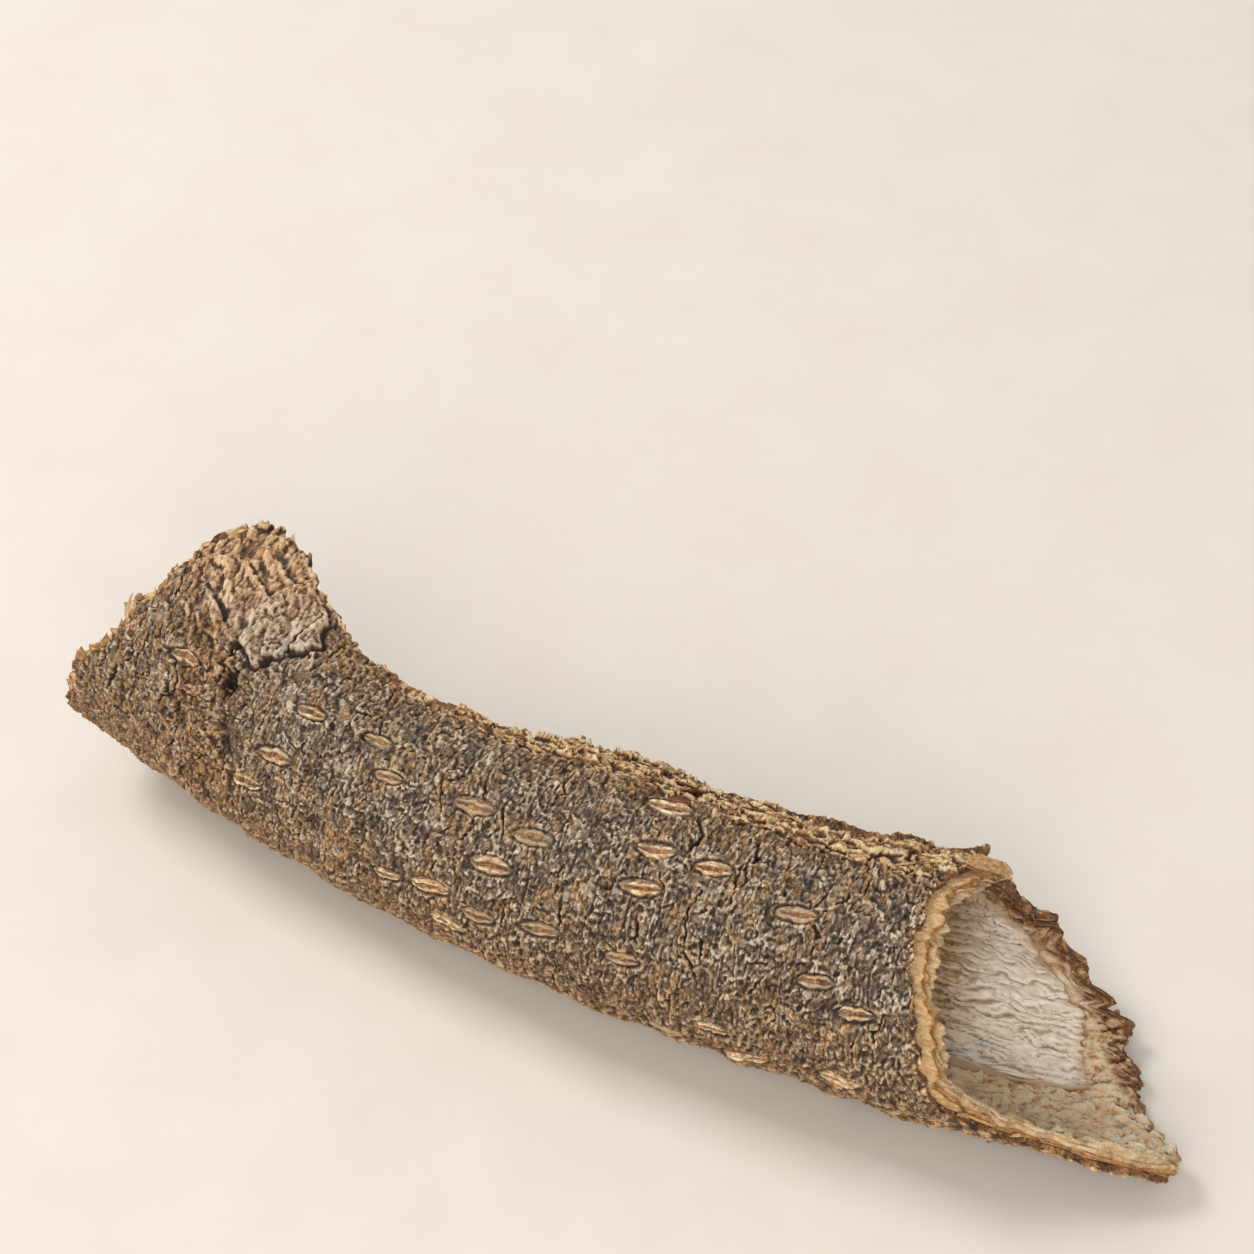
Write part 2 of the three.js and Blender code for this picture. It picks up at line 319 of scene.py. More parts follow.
def quill_point(x, angle, depth):
    """A point a depth below the smooth outer face, on a section square to the bowed spine."""
    folds = FOLD_HEIGHT * far_folds(angle) * far_rim(x, angle, FOLD_REACH)
    radius = body_radius(x) + collar(x, angle) + folds - depth
    slope = through(BOW, x + 0.5) - through(BOW, x - 0.5)
    forward = radius * np.cos(np.radians(angle)) / np.hypot(1, slope)
    height = body_radius(x) - SETTLE + lift(x) + radius * np.sin(np.radians(angle))
    return np.stack([x + forward * slope, through(BOW, x) - forward, np.maximum(height, 0)], axis=-1)


def quill_axes(x, angle):
    """Unit vectors along, round and out of the smooth outer face."""
    along = quill_point(x + 1, angle, 0) - quill_point(x - 1, angle, 0)
    along = along / np.linalg.norm(along, axis=-1, keepdims=True)
    round_it = quill_point(x, angle + 2, 0) - quill_point(x, angle - 2, 0)
    outward = np.cross(along, round_it)
    outward = outward / np.linalg.norm(outward, axis=-1, keepdims=True)
    return along, np.cross(outward, along), outward


def rag(place, seed):
    coarse = RAG_DEPTH * grain(place / RAG_LENGTH, 0.5, seed)
    fine = RAG_FINE_DEPTH * grain(place / RAG_FINE_LENGTH, 0.5, seed + 1)
    return coarse + fine


def left_end(angle):
    away = (angle - SPUR_ANGLE) / SPUR_SPREAD
    return through(LEFT_END, angle) - SPUR_LENGTH * np.exp(-away * away)


def near_edge(share):
    return smooth((share - 1 + EDGE_ZONE) / EDGE_ZONE)


def near_ends(u):
    return np.maximum(near_edge(u), near_edge(1 - u))


def from_edge(u, v, length, width):
    """Distance to the nearest edge of a sheet."""
    return np.minimum(np.minimum(u, 1 - u) * length, np.minimum(v, 1 - v) * width)


def sheet_place(u, v, growth):
    """Where shares u along and v round the sheet lie. growth(edge, place) is what a layer's tear adds."""
    station = SHEET_LENGTH * u
    top = rag(station, RAG_SEED["top"]) + growth("top", station)
    back = rag(station, RAG_SEED["back"]) + growth("back", station)
    angle = lerp(through(BACK_EDGE, u), through(TOP_EDGE, u), v)
    angle = angle + angle_at(top * near_edge(v) - back * near_edge(1 - v))
    right = rag(arc(angle), RAG_SEED["right"]) + growth("right", angle)
    left = rag(arc(angle), RAG_SEED["left"]) + growth("left", angle)
    x = lerp(left_end(angle), through(RIGHT_END, angle), u)
    return x + right * near_edge(u) - left * near_edge(1 - u), angle


def lenticel_places():
    places = list(FRONT_LENTICELS)
    for along, across in map(even_pair, range(1, SPREAD_COUNT + 1)):
        x = lerp(*SPREAD_X, along)
        angle = lerp(*SPREAD_ANGLE, across)
        from_left = x - through(LEFT_END, angle)
        from_right = through(RIGHT_END, angle) - x
        from_back = arc(angle - through(BACK_EDGE, from_left / (from_left + from_right)))
        on_sheet = min(from_left, from_right, from_back) > SPREAD_EDGE_GAP
        if on_sheet and abs(angle + 90) > SPREAD_FLOOR_GAP:
            places.append((x, angle))
    return [(x, angle, lerp(LENTICEL_LEAST, LENTICEL_MOST, draw(k, 0, LENTICEL_SEED)))
            for k, (x, angle) in enumerate(places)]


LENTICELS = lenticel_places()


# Relief of the outer bark

def crack_lines():
    """Cracks run round the quill: the main ones, one through many lenticels, and an even spread."""
    lines = [(start, end, MAIN_CRACK_WIDTH) for start, end in MAIN_CRACKS]
    for k, (x, angle, _) in enumerate(LENTICELS):
        if draw(k, 1, 6) < LENTICEL_CRACK_SHARE:
            reach = lerp(10, 30, draw(k, 2, 6))
            start_x = x + lerp(-1.4, 1.4, draw(k, 3, 6))
            end_x = start_x + lerp(-2, 2.5, draw(k, 4, 6))
            share = draw(k, 5, 6)
            start, end = (start_x, angle + reach * share), (end_x, angle - reach * (1 - share))
            lines.append((start, end, LENTICEL_CRACK_WIDTH))
    for k in range(1, SPREAD_CRACKS + 1):
        along, across = even_pair(k)
        x = lerp(*SPREAD_CRACK_X, along)
        angle = lerp(*SPREAD_CRACK_ANGLE, across)
        reach = lerp(4, 20, draw(k, 1, 7))
        lean = lerp(-2, 3, draw(k, 2, 7))
        width = lerp(*SPREAD_CRACK_WIDTH, draw(k, 3, 7))
        lines.append(((x, angle + reach), (x + lean, angle - reach), width))
    return lines


CRACKS = crack_lines()


def crack_field(x, angle):
    """How deep in a crack each place is, from 0 to 1, and how near one."""
    depth = np.zeros(np.shape(x))
    near = np.zeros(np.shape(x))
    wander = 0.75 * grain(x / 5, arc(angle) / 2.2, 61) + 0.4 * layered_grain(x / 1.5, arc(angle) / 0.8, 62, 3)
    for (x0, angle0), (x1, angle1), width in CRACKS:
        spot = (angle < angle0) & (angle > angle1) & (np.abs(x - (x0 + x1) / 2) < 6)
        t = (angle[spot] - angle0) / (angle1 - angle0)
        away = x[spot] - lerp(x0, x1, t) - wander[spot]
        taper = np.sqrt(np.clip(4 * t * (1 - t), 0.001, 1))
        gape = width * taper * (0.6 + 0.9 * np.abs(wander[spot]))
        depth[spot] = np.maximum(depth[spot], hump(away, gape) * taper)
        near[spot] = np.maximum(near[spot], hump(away, 0.9) * taper)
    bridged = smooth(0.85 + 1.3 * grain(x / 0.9, arc(angle) / 1.2, 66))
    return depth * bridged, near


def lenticel_field(x, angle):
    """How far out of the nearest lenticel a place is: 0 at its centre and 1 on its outline."""
    nearest = np.full(np.shape(x), 9.0)
    for lens_x, lens_angle, size in LENTICELS:
        along = x - lens_x
        round_it = arc(angle - lens_angle)
        a = (along * SLANT_COS + round_it * SLANT_SIN) / (LENTICEL_LENGTH / 2 * size)
        b = (round_it * SLANT_COS - along * SLANT_SIN) / (LENTICEL_WIDTH / 2 * size)
        nearest = np.minimum(nearest, np.hypot(a, b))
    return nearest


def crease_field(x, angle):
    """How far right of the crease a place is, and how strong the crease is there."""
    wander = 1.3 * grain(x / 6, arc(angle) / 4.5, 63) + 0.7 * grain(x / 4, arc(angle) / 1.4, 64)
    ends = smooth((angle + 14) / 25) * smooth((92 - angle) / 10)
    return x - through(CREASE, angle) - wander, ends * (0.65 + 0.35 * grain(x / 9, arc(angle) / 3, 65))


def flakes(x, round_it, along, across, steps, seed):
    """Overlapping flakes: contour steps of noise, each rising slowly and dropping at its free edge."""
    level = steps * layered_grain(x / along, round_it / across, seed, 3)
    rise = level - np.floor(level)
    return rise * (1 - smooth((rise - 1 + FLAKE_DROP) / FLAKE_DROP))


def ridges(x, round_it, along, across, thin, seed):
    """Thin winding ridges, 1 on the crest and 0 beside it."""
    shift = 0.7 * layered_grain(x / along / 2, round_it / across / 2, seed + 7, 2)
    return np.exp(-(thin * layered_grain(x / along + shift, round_it / across - shift, seed, 2)) ** 2)


def slabs(x, round_it, along, across, seed):
    """Angular plates with ragged borders, each at its own height and tilt."""
    shift_x = SLAB_RAGGED * layered_grain(1.3 * x / along, 1.3 * round_it / across, seed + 3, 4)
    shift_y = SLAB_RAGGED * layered_grain(1.3 * x / along, 1.3 * round_it / across, seed + 8, 4)
    own, tilt = cells(x / along + shift_x, round_it / across + shift_y, seed)
    return own - 0.5 + 0.9 * tilt


def facets(x, round_it, size, seed):
    """Small tilted flakes: each one's own draw from 0 to 1, and its sloping height."""
    shift = 0.3 * layered_grain(x / size, round_it / size, seed + 3, 2)
    own, tilt = cells(x / size + shift, 0.85 * round_it / size - shift, seed)
    return own, own - 0.5 + 1.1 * tilt


def blurred(field, radius):
    """The mean of a grid over a square window that reaches that many cells each way."""
    for axis in (0, 1):
        total = np.pad(field, [(radius + 1, radius) if axis == k else (0, 0) for k in (0, 1)], mode="edge")
        total = np.moveaxis(np.cumsum(total, axis=axis), axis, 0)
        mean = (total[2 * radius + 1:] - total[:-2 * radius - 1]) / (2 * radius + 1)
        field = np.moveaxis(mean, 0, axis)
    return field


def loose_plate_list():
    """Plates of bark that stand off the face: under the collar, beside the crease and over the face."""
    def one(k, seed, x, angle, sizes, lifts):
        length = lerp(*sizes, draw(k, 1, seed))
        width = length * lerp(0.6, 1.0, draw(k, 2, seed))
        return x, angle, length, width, lerp(*lifts, draw(k, 3, seed))
    found = [COLLAR_PLATE]
    for k in range(1, CREASE_PLATES + 1):
        along, across = even_pair(k)
        angle = lerp(-5, 76, across)
        x = through(CREASE, angle) - lerp(0, 12, along)
        found.append(one(k, 192, x, angle, (0.9, 2.3), (0.35, 0.7)))
    for k in range(1, FACE_PLATES + 1):
        along, across = even_pair(k)
        found.append(one(k, 193, lerp(-60, 44, along), lerp(-45, 98, across), (0.5, 1.2), (0.14, 0.3)))
    return found


LOOSE_PLATES = loose_plate_list()


def plate_margin(a, b, k):
    """How far inside the angular, ragged outline of loose plate k a place is, as a share of its size."""
    outside = np.full(np.shape(a), -9.0)
    for side in range(PLATE_SIDES):
        turn = 2 * np.pi * (side + 0.7 * draw(k, side, 195)) / PLATE_SIDES
        reach = lerp(0.6, 1.15, draw(k, side, 196))
        outside = np.maximum(outside, (a * np.cos(turn) + b * np.sin(turn)) / reach)
    return 1 - outside - 0.42 * layered_grain(a * 1.8 + 7.3 * k, b * 1.8, 194, 3)


def loose_plates(x, angle):
    """How high the loose plates stand, and the shade under their free edges, which face the lower right."""
    height = np.zeros(np.shape(x))
    shade = np.zeros(np.shape(x))
    for k, (plate_x, plate_angle, length, width, rise) in enumerate(LOOSE_PLATES):
        near = (np.abs(x - plate_x) < 1.6 * length) & (np.abs(arc(angle - plate_angle)) < 1.6 * length)
        a = (x[near] - plate_x) / length
        b = arc(angle[near] - plate_angle) / width
        margin = plate_margin(a, b, k)
        free = smooth(0.5 + 0.4 * a - 0.55 * b)
        height[near] = np.maximum(height[near], smooth(margin / 0.1) * rise * lerp(0.1, 1, free))
        shade[near] = np.maximum(shade[near], hump(margin + 0.07, 0.08) * free)
    return height, shade


def torn_strip(x, angle, u, v):
    """Where the outer bark's face is torn off along the top edge, and the crumbly height there."""
    round_it = arc(angle)
    width = through(TORN_STRIP, u) + 0.9 * grain(x / 3.1, 0.5, 203) + 0.5 * layered_grain(x, round_it, 204, 3)
    torn = smooth((width - (1 - v) * SHEET_ROUND) / 0.25)
    crumbs = 0.8 * slabs(x, round_it, 3.8, 1.5, 211) + 0.4 * slabs(x, round_it, 1.5, 0.8, 221)
    return torn, crumbs - 0.4 + 0.6 * flakes(x, round_it, 3.4, 1.5, 1.5, 231)


def bark_scales(x, round_it):
    """The face's scales, small flakes and furrows: their height, and each small flake's own draw."""
    own, small = facets(x, round_it, 0.62, 521)
    height = 0.3 * flakes(x, round_it, 3.0, 5.0, 1.6, 501) + 0.34 * flakes(x, round_it, 1.3, 2.2, 1.5, 511)
    height = height + 0.07 * ridges(x, round_it, 0.75, 1.2, 3.6, 531)
    height = height - 0.22 * ridges(x, round_it, 1.5, 2.6, 5, 571)
    return height + 0.12 * small, own


def collar_crumble(x, round_it):
    """The angular crumbs of the collar and the crease."""
    height = slabs(x, round_it, 4.6, 4.0, 601) + 0.8 * slabs(x, round_it, 2.0, 1.8, 611)
    return height + 0.4 * slabs(x, round_it, 0.9, 0.9, 616)


def outer_relief(x, angle, u, v):
    """Height of the outer bark above its smooth face, and the masks that colour it."""
    round_it = arc(angle)
    crack, near_crack = crack_field(x, angle)
    lens = lenticel_field(x, angle)
    calm = smooth((lens - 0.9) / 0.35)
    away, ends = crease_field(x, angle)
    rough = np.maximum(smooth(1.25 * patch_share(x, angle, COLLAR)), 0.75 * ends * hump(away + 3.0, 5.0))
    scales, facet = bark_scales(x, round_it)
    plate, shade = loose_plates(x, angle)
    plate, shade = plate * calm, shade * calm
    covered = smooth(plate / 0.35)
    crease = ends * (1 - covered)
    gaps = smooth(0.65 + 1.5 * layered_grain(x / 2.2, round_it / 2.6, 67, 3))
    crevice = crease * gaps * hump(away, 0.7)
    height = low_relief(x, angle) + scales * calm * (1 - 0.4 * rough)
    height = height + rough * (1 - 0.3 * covered) * collar_crumble(x, round_it) + plate
    height = height - 0.75 * crack * calm - 1.3 * crevice + 0.8 * crease * hump(away + 1.8, 1.3)
    height = height - 0.2 * hump(lens - 1.1, 0.13) - 0.3 * shade
    torn, crumbs = torn_strip(x, angle, u, v)
    masks = {
        # crack gathers the cracks, the crease's crevice and the shade under loose plates' free edges, and
        # moat the groove round each lenticel; the colour paints both dark as painted shade
        "crack": np.clip(np.maximum(np.maximum(crack, crevice), 0.8 * shade) * (1 - torn), 0, 1),
        "ochre": np.clip(near_crack, 0, 1),
        "facet": facet,
        "moat": hump(lens - 1.08, 0.14),
        "collar": smooth(1.3 * patch_share(x, angle, PINK)),
        "rough": rough,
        "torn": torn,
    }
    return lerp(height, crumbs, torn), masks


# Meshes

def quads_of(grid):
    """The four corners of each cell of a grid, in order."""
    corners = [grid[:-1, :-1], grid[1:, :-1], grid[1:, 1:], grid[:-1, 1:]]
    return np.stack(corners, axis=2).reshape(-1, 4, *grid.shape[2:])


def rim_of(grid):
    """A grid's border, once round."""
    return np.concatenate([grid[:-1, 0], grid[-1, :-1], grid[:0:-1, -1], grid[0, :0:-1]])


def rectangle(count_along, count_round, low, high):
    """Baking coordinates that spread a grid over a rectangle."""
    u = np.linspace(low[0], high[0], count_along)
    v = np.linspace(low[1], high[1], count_round)
    return np.stack(np.meshgrid(u, v, indexing="ij"), axis=-1)


def make_piece(name, points, faces, uvs, masks, material, sharp=(), rounded=True):
    """A mesh from points in millimetres, with lists of face arrays. sharp lists points on creased edges."""
    counts = np.concatenate([np.full(len(part), part.shape[1]) for part in faces])
    corners = np.concatenate([part.reshape(-1) for part in faces])
    mesh = bpy.data.meshes.new(name)
    mesh.vertices.add(len(points))
    mesh.vertices.foreach_set("co", (np.asarray(points) * MM).astype(np.float32).reshape(-1))
    mesh.loops.add(len(corners))
    mesh.loops.foreach_set("vertex_index", corners.astype(np.int32))
    mesh.polygons.add(len(counts))
    starts = np.concatenate([[0], np.cumsum(counts)[:-1]])
    mesh.polygons.foreach_set("loop_start", starts.astype(np.int32))
    mesh.polygons.foreach_set("use_smooth", np.full(len(counts), rounded))
    mesh.update(calc_edges=True)
    layer = mesh.uv_layers.new(name="OFBake")
    layer.data.foreach_set("uv", np.concatenate([part.reshape(-1) for part in uvs]).astype(np.float32))
    for mask, values in masks.items():
        wide = np.ndim(values) == 2
        attribute = mesh.attributes.new(mask, "FLOAT_VECTOR" if wide else "FLOAT", "POINT")
        attribute.data.foreach_set("vector" if wide else "value", np.asarray(values, np.float32).reshape(-1))
    if len(sharp):
        pairs = np.empty(2 * len(mesh.edges), np.int32)
        mesh.edges.foreach_get("vertices", pairs)
        creased = np.isin(pairs.reshape(-1, 2), sharp).all(axis=1)
        mesh.attributes.new("sharp_edge", "BOOLEAN", "EDGE").data.foreach_set("value", creased)
    mesh.validate()
    mesh.materials.append(material)
    piece = bpy.data.objects.new(name, mesh)
    bpy.context.scene.collection.objects.link(piece)
    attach(piece, "root")
    return piece


def sheet_masks(x, angle, depth, **more):
    masks = {"sheet": np.stack([x, arc(angle), depth], axis=-1).reshape(-1, 3)}
    masks.update({name: np.broadcast_to(values, np.shape(x)).reshape(-1) for name, values in more.items()})
    return masks


def surface(x, angle, depth, **masks):
    """The points and the masks of a grid, or of a row of points, at a depth below the smooth face."""
    return quill_point(x, angle, depth), sheet_masks(x, angle, depth, **masks)


def closed_sheet(name, outer, rows, inner, step, charts, material, creased=True):
    """A closed sheet: an outer surface, rim rows, and an inner surface with a point for each step."""
    outer_shape, inner_shape = outer[0].shape[:2], inner[0].shape[:2]
    rim_length = 2 * sum(outer_shape) - 4
    outer_ids = np.arange(np.prod(outer_shape)).reshape(outer_shape)
    row_ids = outer_ids.size + np.arange(len(rows) * rim_length).reshape(len(rows), rim_length)
    inner_ids = outer_ids.size + row_ids.size + np.arange(np.prod(inner_shape)).reshape(inner_shape)
    border, seat = rim_of(outer_ids), rim_of(inner_ids)
    ring_ids = np.vstack([border, row_ids] + ([seat] if step == 1 else []))
    ring_ids = np.hstack([ring_ids, ring_ids[:, :1]])
    ring_uv = rectangle(rim_length + 1, len(rows) + 2, *charts["rim"]).transpose(1, 0, 2)
    outer_uv = rectangle(*outer_shape, *charts["outer"])
    inner_uv = rectangle(*inner_shape, *charts["inner"])
    faces = [quads_of(outer_ids), quads_of(ring_ids), quads_of(inner_ids)[:, ::-1]]
    uvs = [quads_of(outer_uv), quads_of(ring_uv[:len(ring_ids)]), quads_of(inner_uv)[:, ::-1]]
    if step > 1:
        fan_faces, fan_uvs = seat_fans(ring_ids[-1], seat, step, ring_uv[-2], ring_uv[-1])
        faces.append(fan_faces)
        uvs.append(fan_uvs)
    surfaces = [outer, *rows, inner]
    points = np.concatenate([spots.reshape(-1, 3) for spots, _ in surfaces])
    masks = {mask: np.concatenate([marks[mask] for _, marks in surfaces]) for mask in outer[1]}
    return make_piece(name, points, faces, uvs, masks, material, border if creased else ())


def seat_fans(last, seat, step, last_uv, seat_uv):
    """Triangles between a fine rim and a seat with one point for each even step of it."""
    faces, uvs = [], []
    for k in range(len(last) - 1):
        here = k // step
        there = here + (1 if k % step >= step // 2 else 0)
        faces.append((last[k + 1], last[k], seat[there % len(seat)]))
        uvs.append((last_uv[k + 1], last_uv[k], seat_uv[there * step]))
        if k % step == step // 2:
            faces.append((last[k], seat[here], seat[(here + 1) % len(seat)]))
            uvs.append((last_uv[k], seat_uv[here * step], seat_uv[(here + 1) * step]))
    return np.array(faces), np.array(uvs)


def make_copies(name, points, faces, chart, map_faces, masks, material, rounded=True):
    """One mesh of like pieces, with a row of points and masks for each. chart maps one to a square."""
    count, each = points.shape[:2]
    across = int(np.ceil(np.sqrt(count)))
    which = np.arange(count)
    corner = np.stack([which % across, which // across], axis=1) / across
    uv = (corner[:, None] + CELL_FILL / across * chart).reshape(-1, 2)
    shift = which[:, None, None]
    all_faces = [(part + shift * each).reshape(-1, part.shape[1]) for part in faces]
    all_uvs = [uv[(part + shift * len(chart)).reshape(-1, part.shape[1])] for part in map_faces]
    flat = {mask: values.reshape(-1, *values.shape[2:]) for mask, values in masks.items()}
    return make_piece(name, points.reshape(-1, 3), all_faces, all_uvs, flat, material, rounded=rounded)


# The layers

def jag(place, seed, depth):
    """Fine teeth along a torn edge."""
    return depth * (0.6 * grain(place / 1.3, 0.5, seed) + 0.4 * grain(place / 0.5, 0.5, seed + 1))


def fold_growth(angle):
    return FOLD_LENGTH * far_folds(angle) * far_side(angle)


def cork_growth(edge, place):
    if edge == "top":
        return jag(place, 201, 0.6) + 0.3
    if edge == "back":
        return jag(place, 205, 0.6)
    if edge == "right":
        return jag(arc(place), 207, 0.9) + fold_growth(place) + through(CORK_RIGHT, place)
    return jag(arc(place), 209, 1.0) - 0.7


def margin_grid(along, round_it, span_u, span_v):
    """Shares along and round the sheet over two (low, high) spans, with the relief's margin all round."""
    steps_u = np.arange(-RELIEF_MARGIN, along + RELIEF_MARGIN + 1) / along
    steps_v = np.arange(-RELIEF_MARGIN, round_it + RELIEF_MARGIN + 1) / round_it
    u, v = np.clip(lerp(*span_u, steps_u), 0, 1), np.clip(lerp(*span_v, steps_v), 0, 1)
    return np.meshgrid(u, v, indexing="ij")


def crowded_grid(counts, spreads):
    """Shares along and round the sheet. A spread lists (share of the cells, share of the sheet)."""
    u, v = [np.interp(np.linspace(0, 1, count + 1), *np.transpose(spread))
            for count, spread in zip(counts, spreads)]
    return np.meshgrid(u, v, indexing="ij")


def cork_depth(x, angle, u, v):
    """Depth of the outer bark's underside, which thins towards the ends and the top edge."""
    edge = np.maximum(near_ends(u), near_edge(v)) * smooth((v - 0.3) / 0.2)
    return lerp(CORK, CORK_EDGE, edge) - low_relief(x, angle) * edge


def outer_bark(name, cell_counts, span_u, span_v, material):
    u, v = margin_grid(*cell_counts, span_u, span_v)
    x, angle = sheet_place(u, v, cork_growth)
    height, masks = outer_relief(x, angle, u, v)
    height = np.maximum(height, CORK_LEAST - cork_depth(x, angle, u, v))
    # crest and hollow measure the relief; the bark's colour paints crests lighter and hollows darker from
    # them
    masks["crest"] = height - blurred(height, CREST_WINDOW)
    masks["hollow"] = blurred(height, HOLLOW_WINDOW) - height
    masks["torn"] = np.maximum(masks["torn"], hump(from_edge(u, v, CORK_LENGTH, SHEET_ROUND), 0.45))
    keep = slice(RELIEF_MARGIN, -RELIEF_MARGIN)
    u, v, x, angle, height = [grid[keep, keep] for grid in (u, v, x, angle, height)]
    masks = {mask: grid[keep, keep] for mask, grid in masks.items()}
    bare = {mask: 1 if mask == "torn" else 0 for mask in masks}
    rim_u, rim_v = rim_of(u), rim_of(v)
    rim_depth = cork_depth(rim_of(x), rim_of(angle), rim_u, rim_v)
    rows = []
    for share in (0.35, 0.7):
        def growth(side, where):
            return cork_growth(side, where) - 0.12 + 0.3 * grain(where * 0.9, 9 * share, 211)
        row_x, row_angle = sheet_place(rim_u, rim_v, growth)
        rows.append(surface(row_x, row_angle, lerp(-rim_of(height), rim_depth, share), **bare))
    under_u, under_v = u[::UNDER_STEP, ::UNDER_STEP], v[::UNDER_STEP, ::UNDER_STEP]
    under_x, under_angle = sheet_place(under_u, under_v, lambda side, where: cork_growth(side, where) - 0.35)
    under = surface(under_x, under_angle, cork_depth(under_x, under_angle, under_u, under_v), **bare)
    face = surface(x, angle, -height, **masks)
    piece = closed_sheet(name, face, rows, under, UNDER_STEP, FINE_FACE_CHARTS, material)
    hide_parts("bark")


def leaf_of(layer):
    """Which leaf of the inner bark a layer from 0, under the outer bark, to 1, at the hollow, is in."""
    return np.floor(layer * (LEAVES - 0.01))


def leaf_bulge(layer):
    """How far the edge of a leaf of inner bark stands out, from 0 between two leaves to 1 on its middle."""
    return np.sin(np.pi * (layer * LEAVES - leaf_of(layer))) ** 0.5


def bast_growth(layer):
    """Growth of the inner bark's torn edge at a layer."""
    def growth(edge, place):
        spot = place if edge in ("top", "back") else arc(place)
        seed = 221 + RAG_SEED[edge]
        row = 3.7 * leaf_of(layer) + 0.5
        leaves = 0.9 * grain(spot / 2.8, row, seed) + 0.6 * grain(spot / 0.95, row, seed + 1)
        leaves = leaves + 0.35 * grain(spot / 0.5, row, seed + 2) + 0.5 * leaf_bulge(layer)
        leaves = leaves + 0.6 * grain(spot / 0.8, 8 * layer + 0.5, seed + 3)
        if edge == "right":
            reach = lerp(through(BAST_RIGHT_OUTER, place), through(BAST_RIGHT_INNER, place), layer)
            return reach + 0.8 * leaves + fold_growth(place)
        return leaves - 0.2 * layer - (0.3 if edge == "left" else 0.9)
    return growth


def hollow_relief(x, angle):
    """How far the inner bark's rough face stands into the hollow."""
    round_it = arc(angle)
    crumbs = 0.6 * slabs(x, round_it, 3.4, 1.8, 255) + 0.34 * slabs(x, round_it, 1.4, 0.9, 265)
    layers = 0.6 * flakes(x, round_it, 5.0, 2.4, 1.6, 275) + 0.14 * facets(x, round_it, 0.9, 245)[1]
    return crumbs + layers + 0.4 * layered_grain(x / 4, round_it / 3, 251, 3) - 0.3


def inner_bark(material):
    u, v = crowded_grid(BAST_CELLS, BAST_SPREAD)
    x, angle = sheet_place(u, v, bast_growth(0))
    depth = cork_depth(x, angle, u, v) - 0.08
    plain = {"inside": 0, "crest": 0}
    outer = surface(x, angle, depth, layer=0.1 + 0.3 * near_ends(u) ** 4, recess=0, far=0, **plain)
    rim_u, rim_v, rim_depth = rim_of(u), rim_of(v), rim_of(depth)
    rows = []
    for layer in np.linspace(0, 1, LEAF_ROWS * LEAVES + 1)[1:-1]:
        x, angle = sheet_place(rim_u, rim_v, bast_growth(layer))
        wander = 2.4 * layer * (1 - layer) * layered_grain(x / 2.2, arc(angle) / 1.8, 285, 3)
        edge = {"layer": layer, "recess": 1 - leaf_bulge(layer), "far": far_rim(x, angle, FAR_BROWN)}
        rows.append(surface(x, angle, lerp(rim_depth, WALL, layer) + wander, **edge, **plain))
    x, angle = sheet_place(u, v, bast_growth(1))
    bare = smooth((x - through(LINING_RIGHT, angle) + 1.5) / 2)
    rough = lerp(LINING_BED, hollow_relief(x, angle), bare)
    hollow = {"inside": 1, "crest": rough - blurred(rough, CREST_WINDOW), "far": far_rim(x, angle, FAR_BROWN)}
    inner = surface(x, angle, WALL + rough, layer=1, recess=0, **hollow)
    closed_sheet("inner_bark", outer, rows, inner, 1, EVEN_CHARTS, material, creased=False)


def lining_place(u, v):
    ragged = jag(SHEET_LENGTH * u, 261, 0.8)
    low = through(BACK_EDGE, u) + angle_at(LINING_SETBACK + ragged)
    high = through(TOP_EDGE, u) - angle_at(LINING_SETBACK + ragged)
    angle = lerp(low, high, v)
    torn = jag(arc(angle), 263, 1.4) + 1.1 * grain(arc(angle) / 3.3, 0.5, 265)
    left = left_end(angle) + LINING_SETBACK
    right = through(LINING_RIGHT, angle + 5 * layered_grain(u * 40, v * 12, 267, 3))
    return lerp(left, right, u) + torn * (near_edge(u) + near_edge(1 - u)), angle


def lining_sheets(x, round_it):
    """Papery sheets that overlap round the quill: their height, and the painted shadow under each free edge.
    """
    warp = 1.3 * layered_grain(x / 5, round_it / 3, 271, 3) + 0.5 * grain(x / 1.4, round_it / 1.4, 272)
    height, painted_ledge_shadow = 0, 0
    for period, tall, seed in ((1.4, 0.85, 273), (0.7, 0.4, 283)):
        phase = round_it / period + warp * 1.1 / period
        saw = phase - np.floor(phase)
        held = smooth(0.5 + 1.4 * layered_grain(x / 3.0, round_it / 1.2, seed, 2))
        height = height + tall * held * (saw - smooth((saw - 0.86) / 0.14))
        painted_ledge_shadow = np.maximum(painted_ledge_shadow, held * hump(saw - 0.97, 0.09))
    return height, painted_ledge_shadow


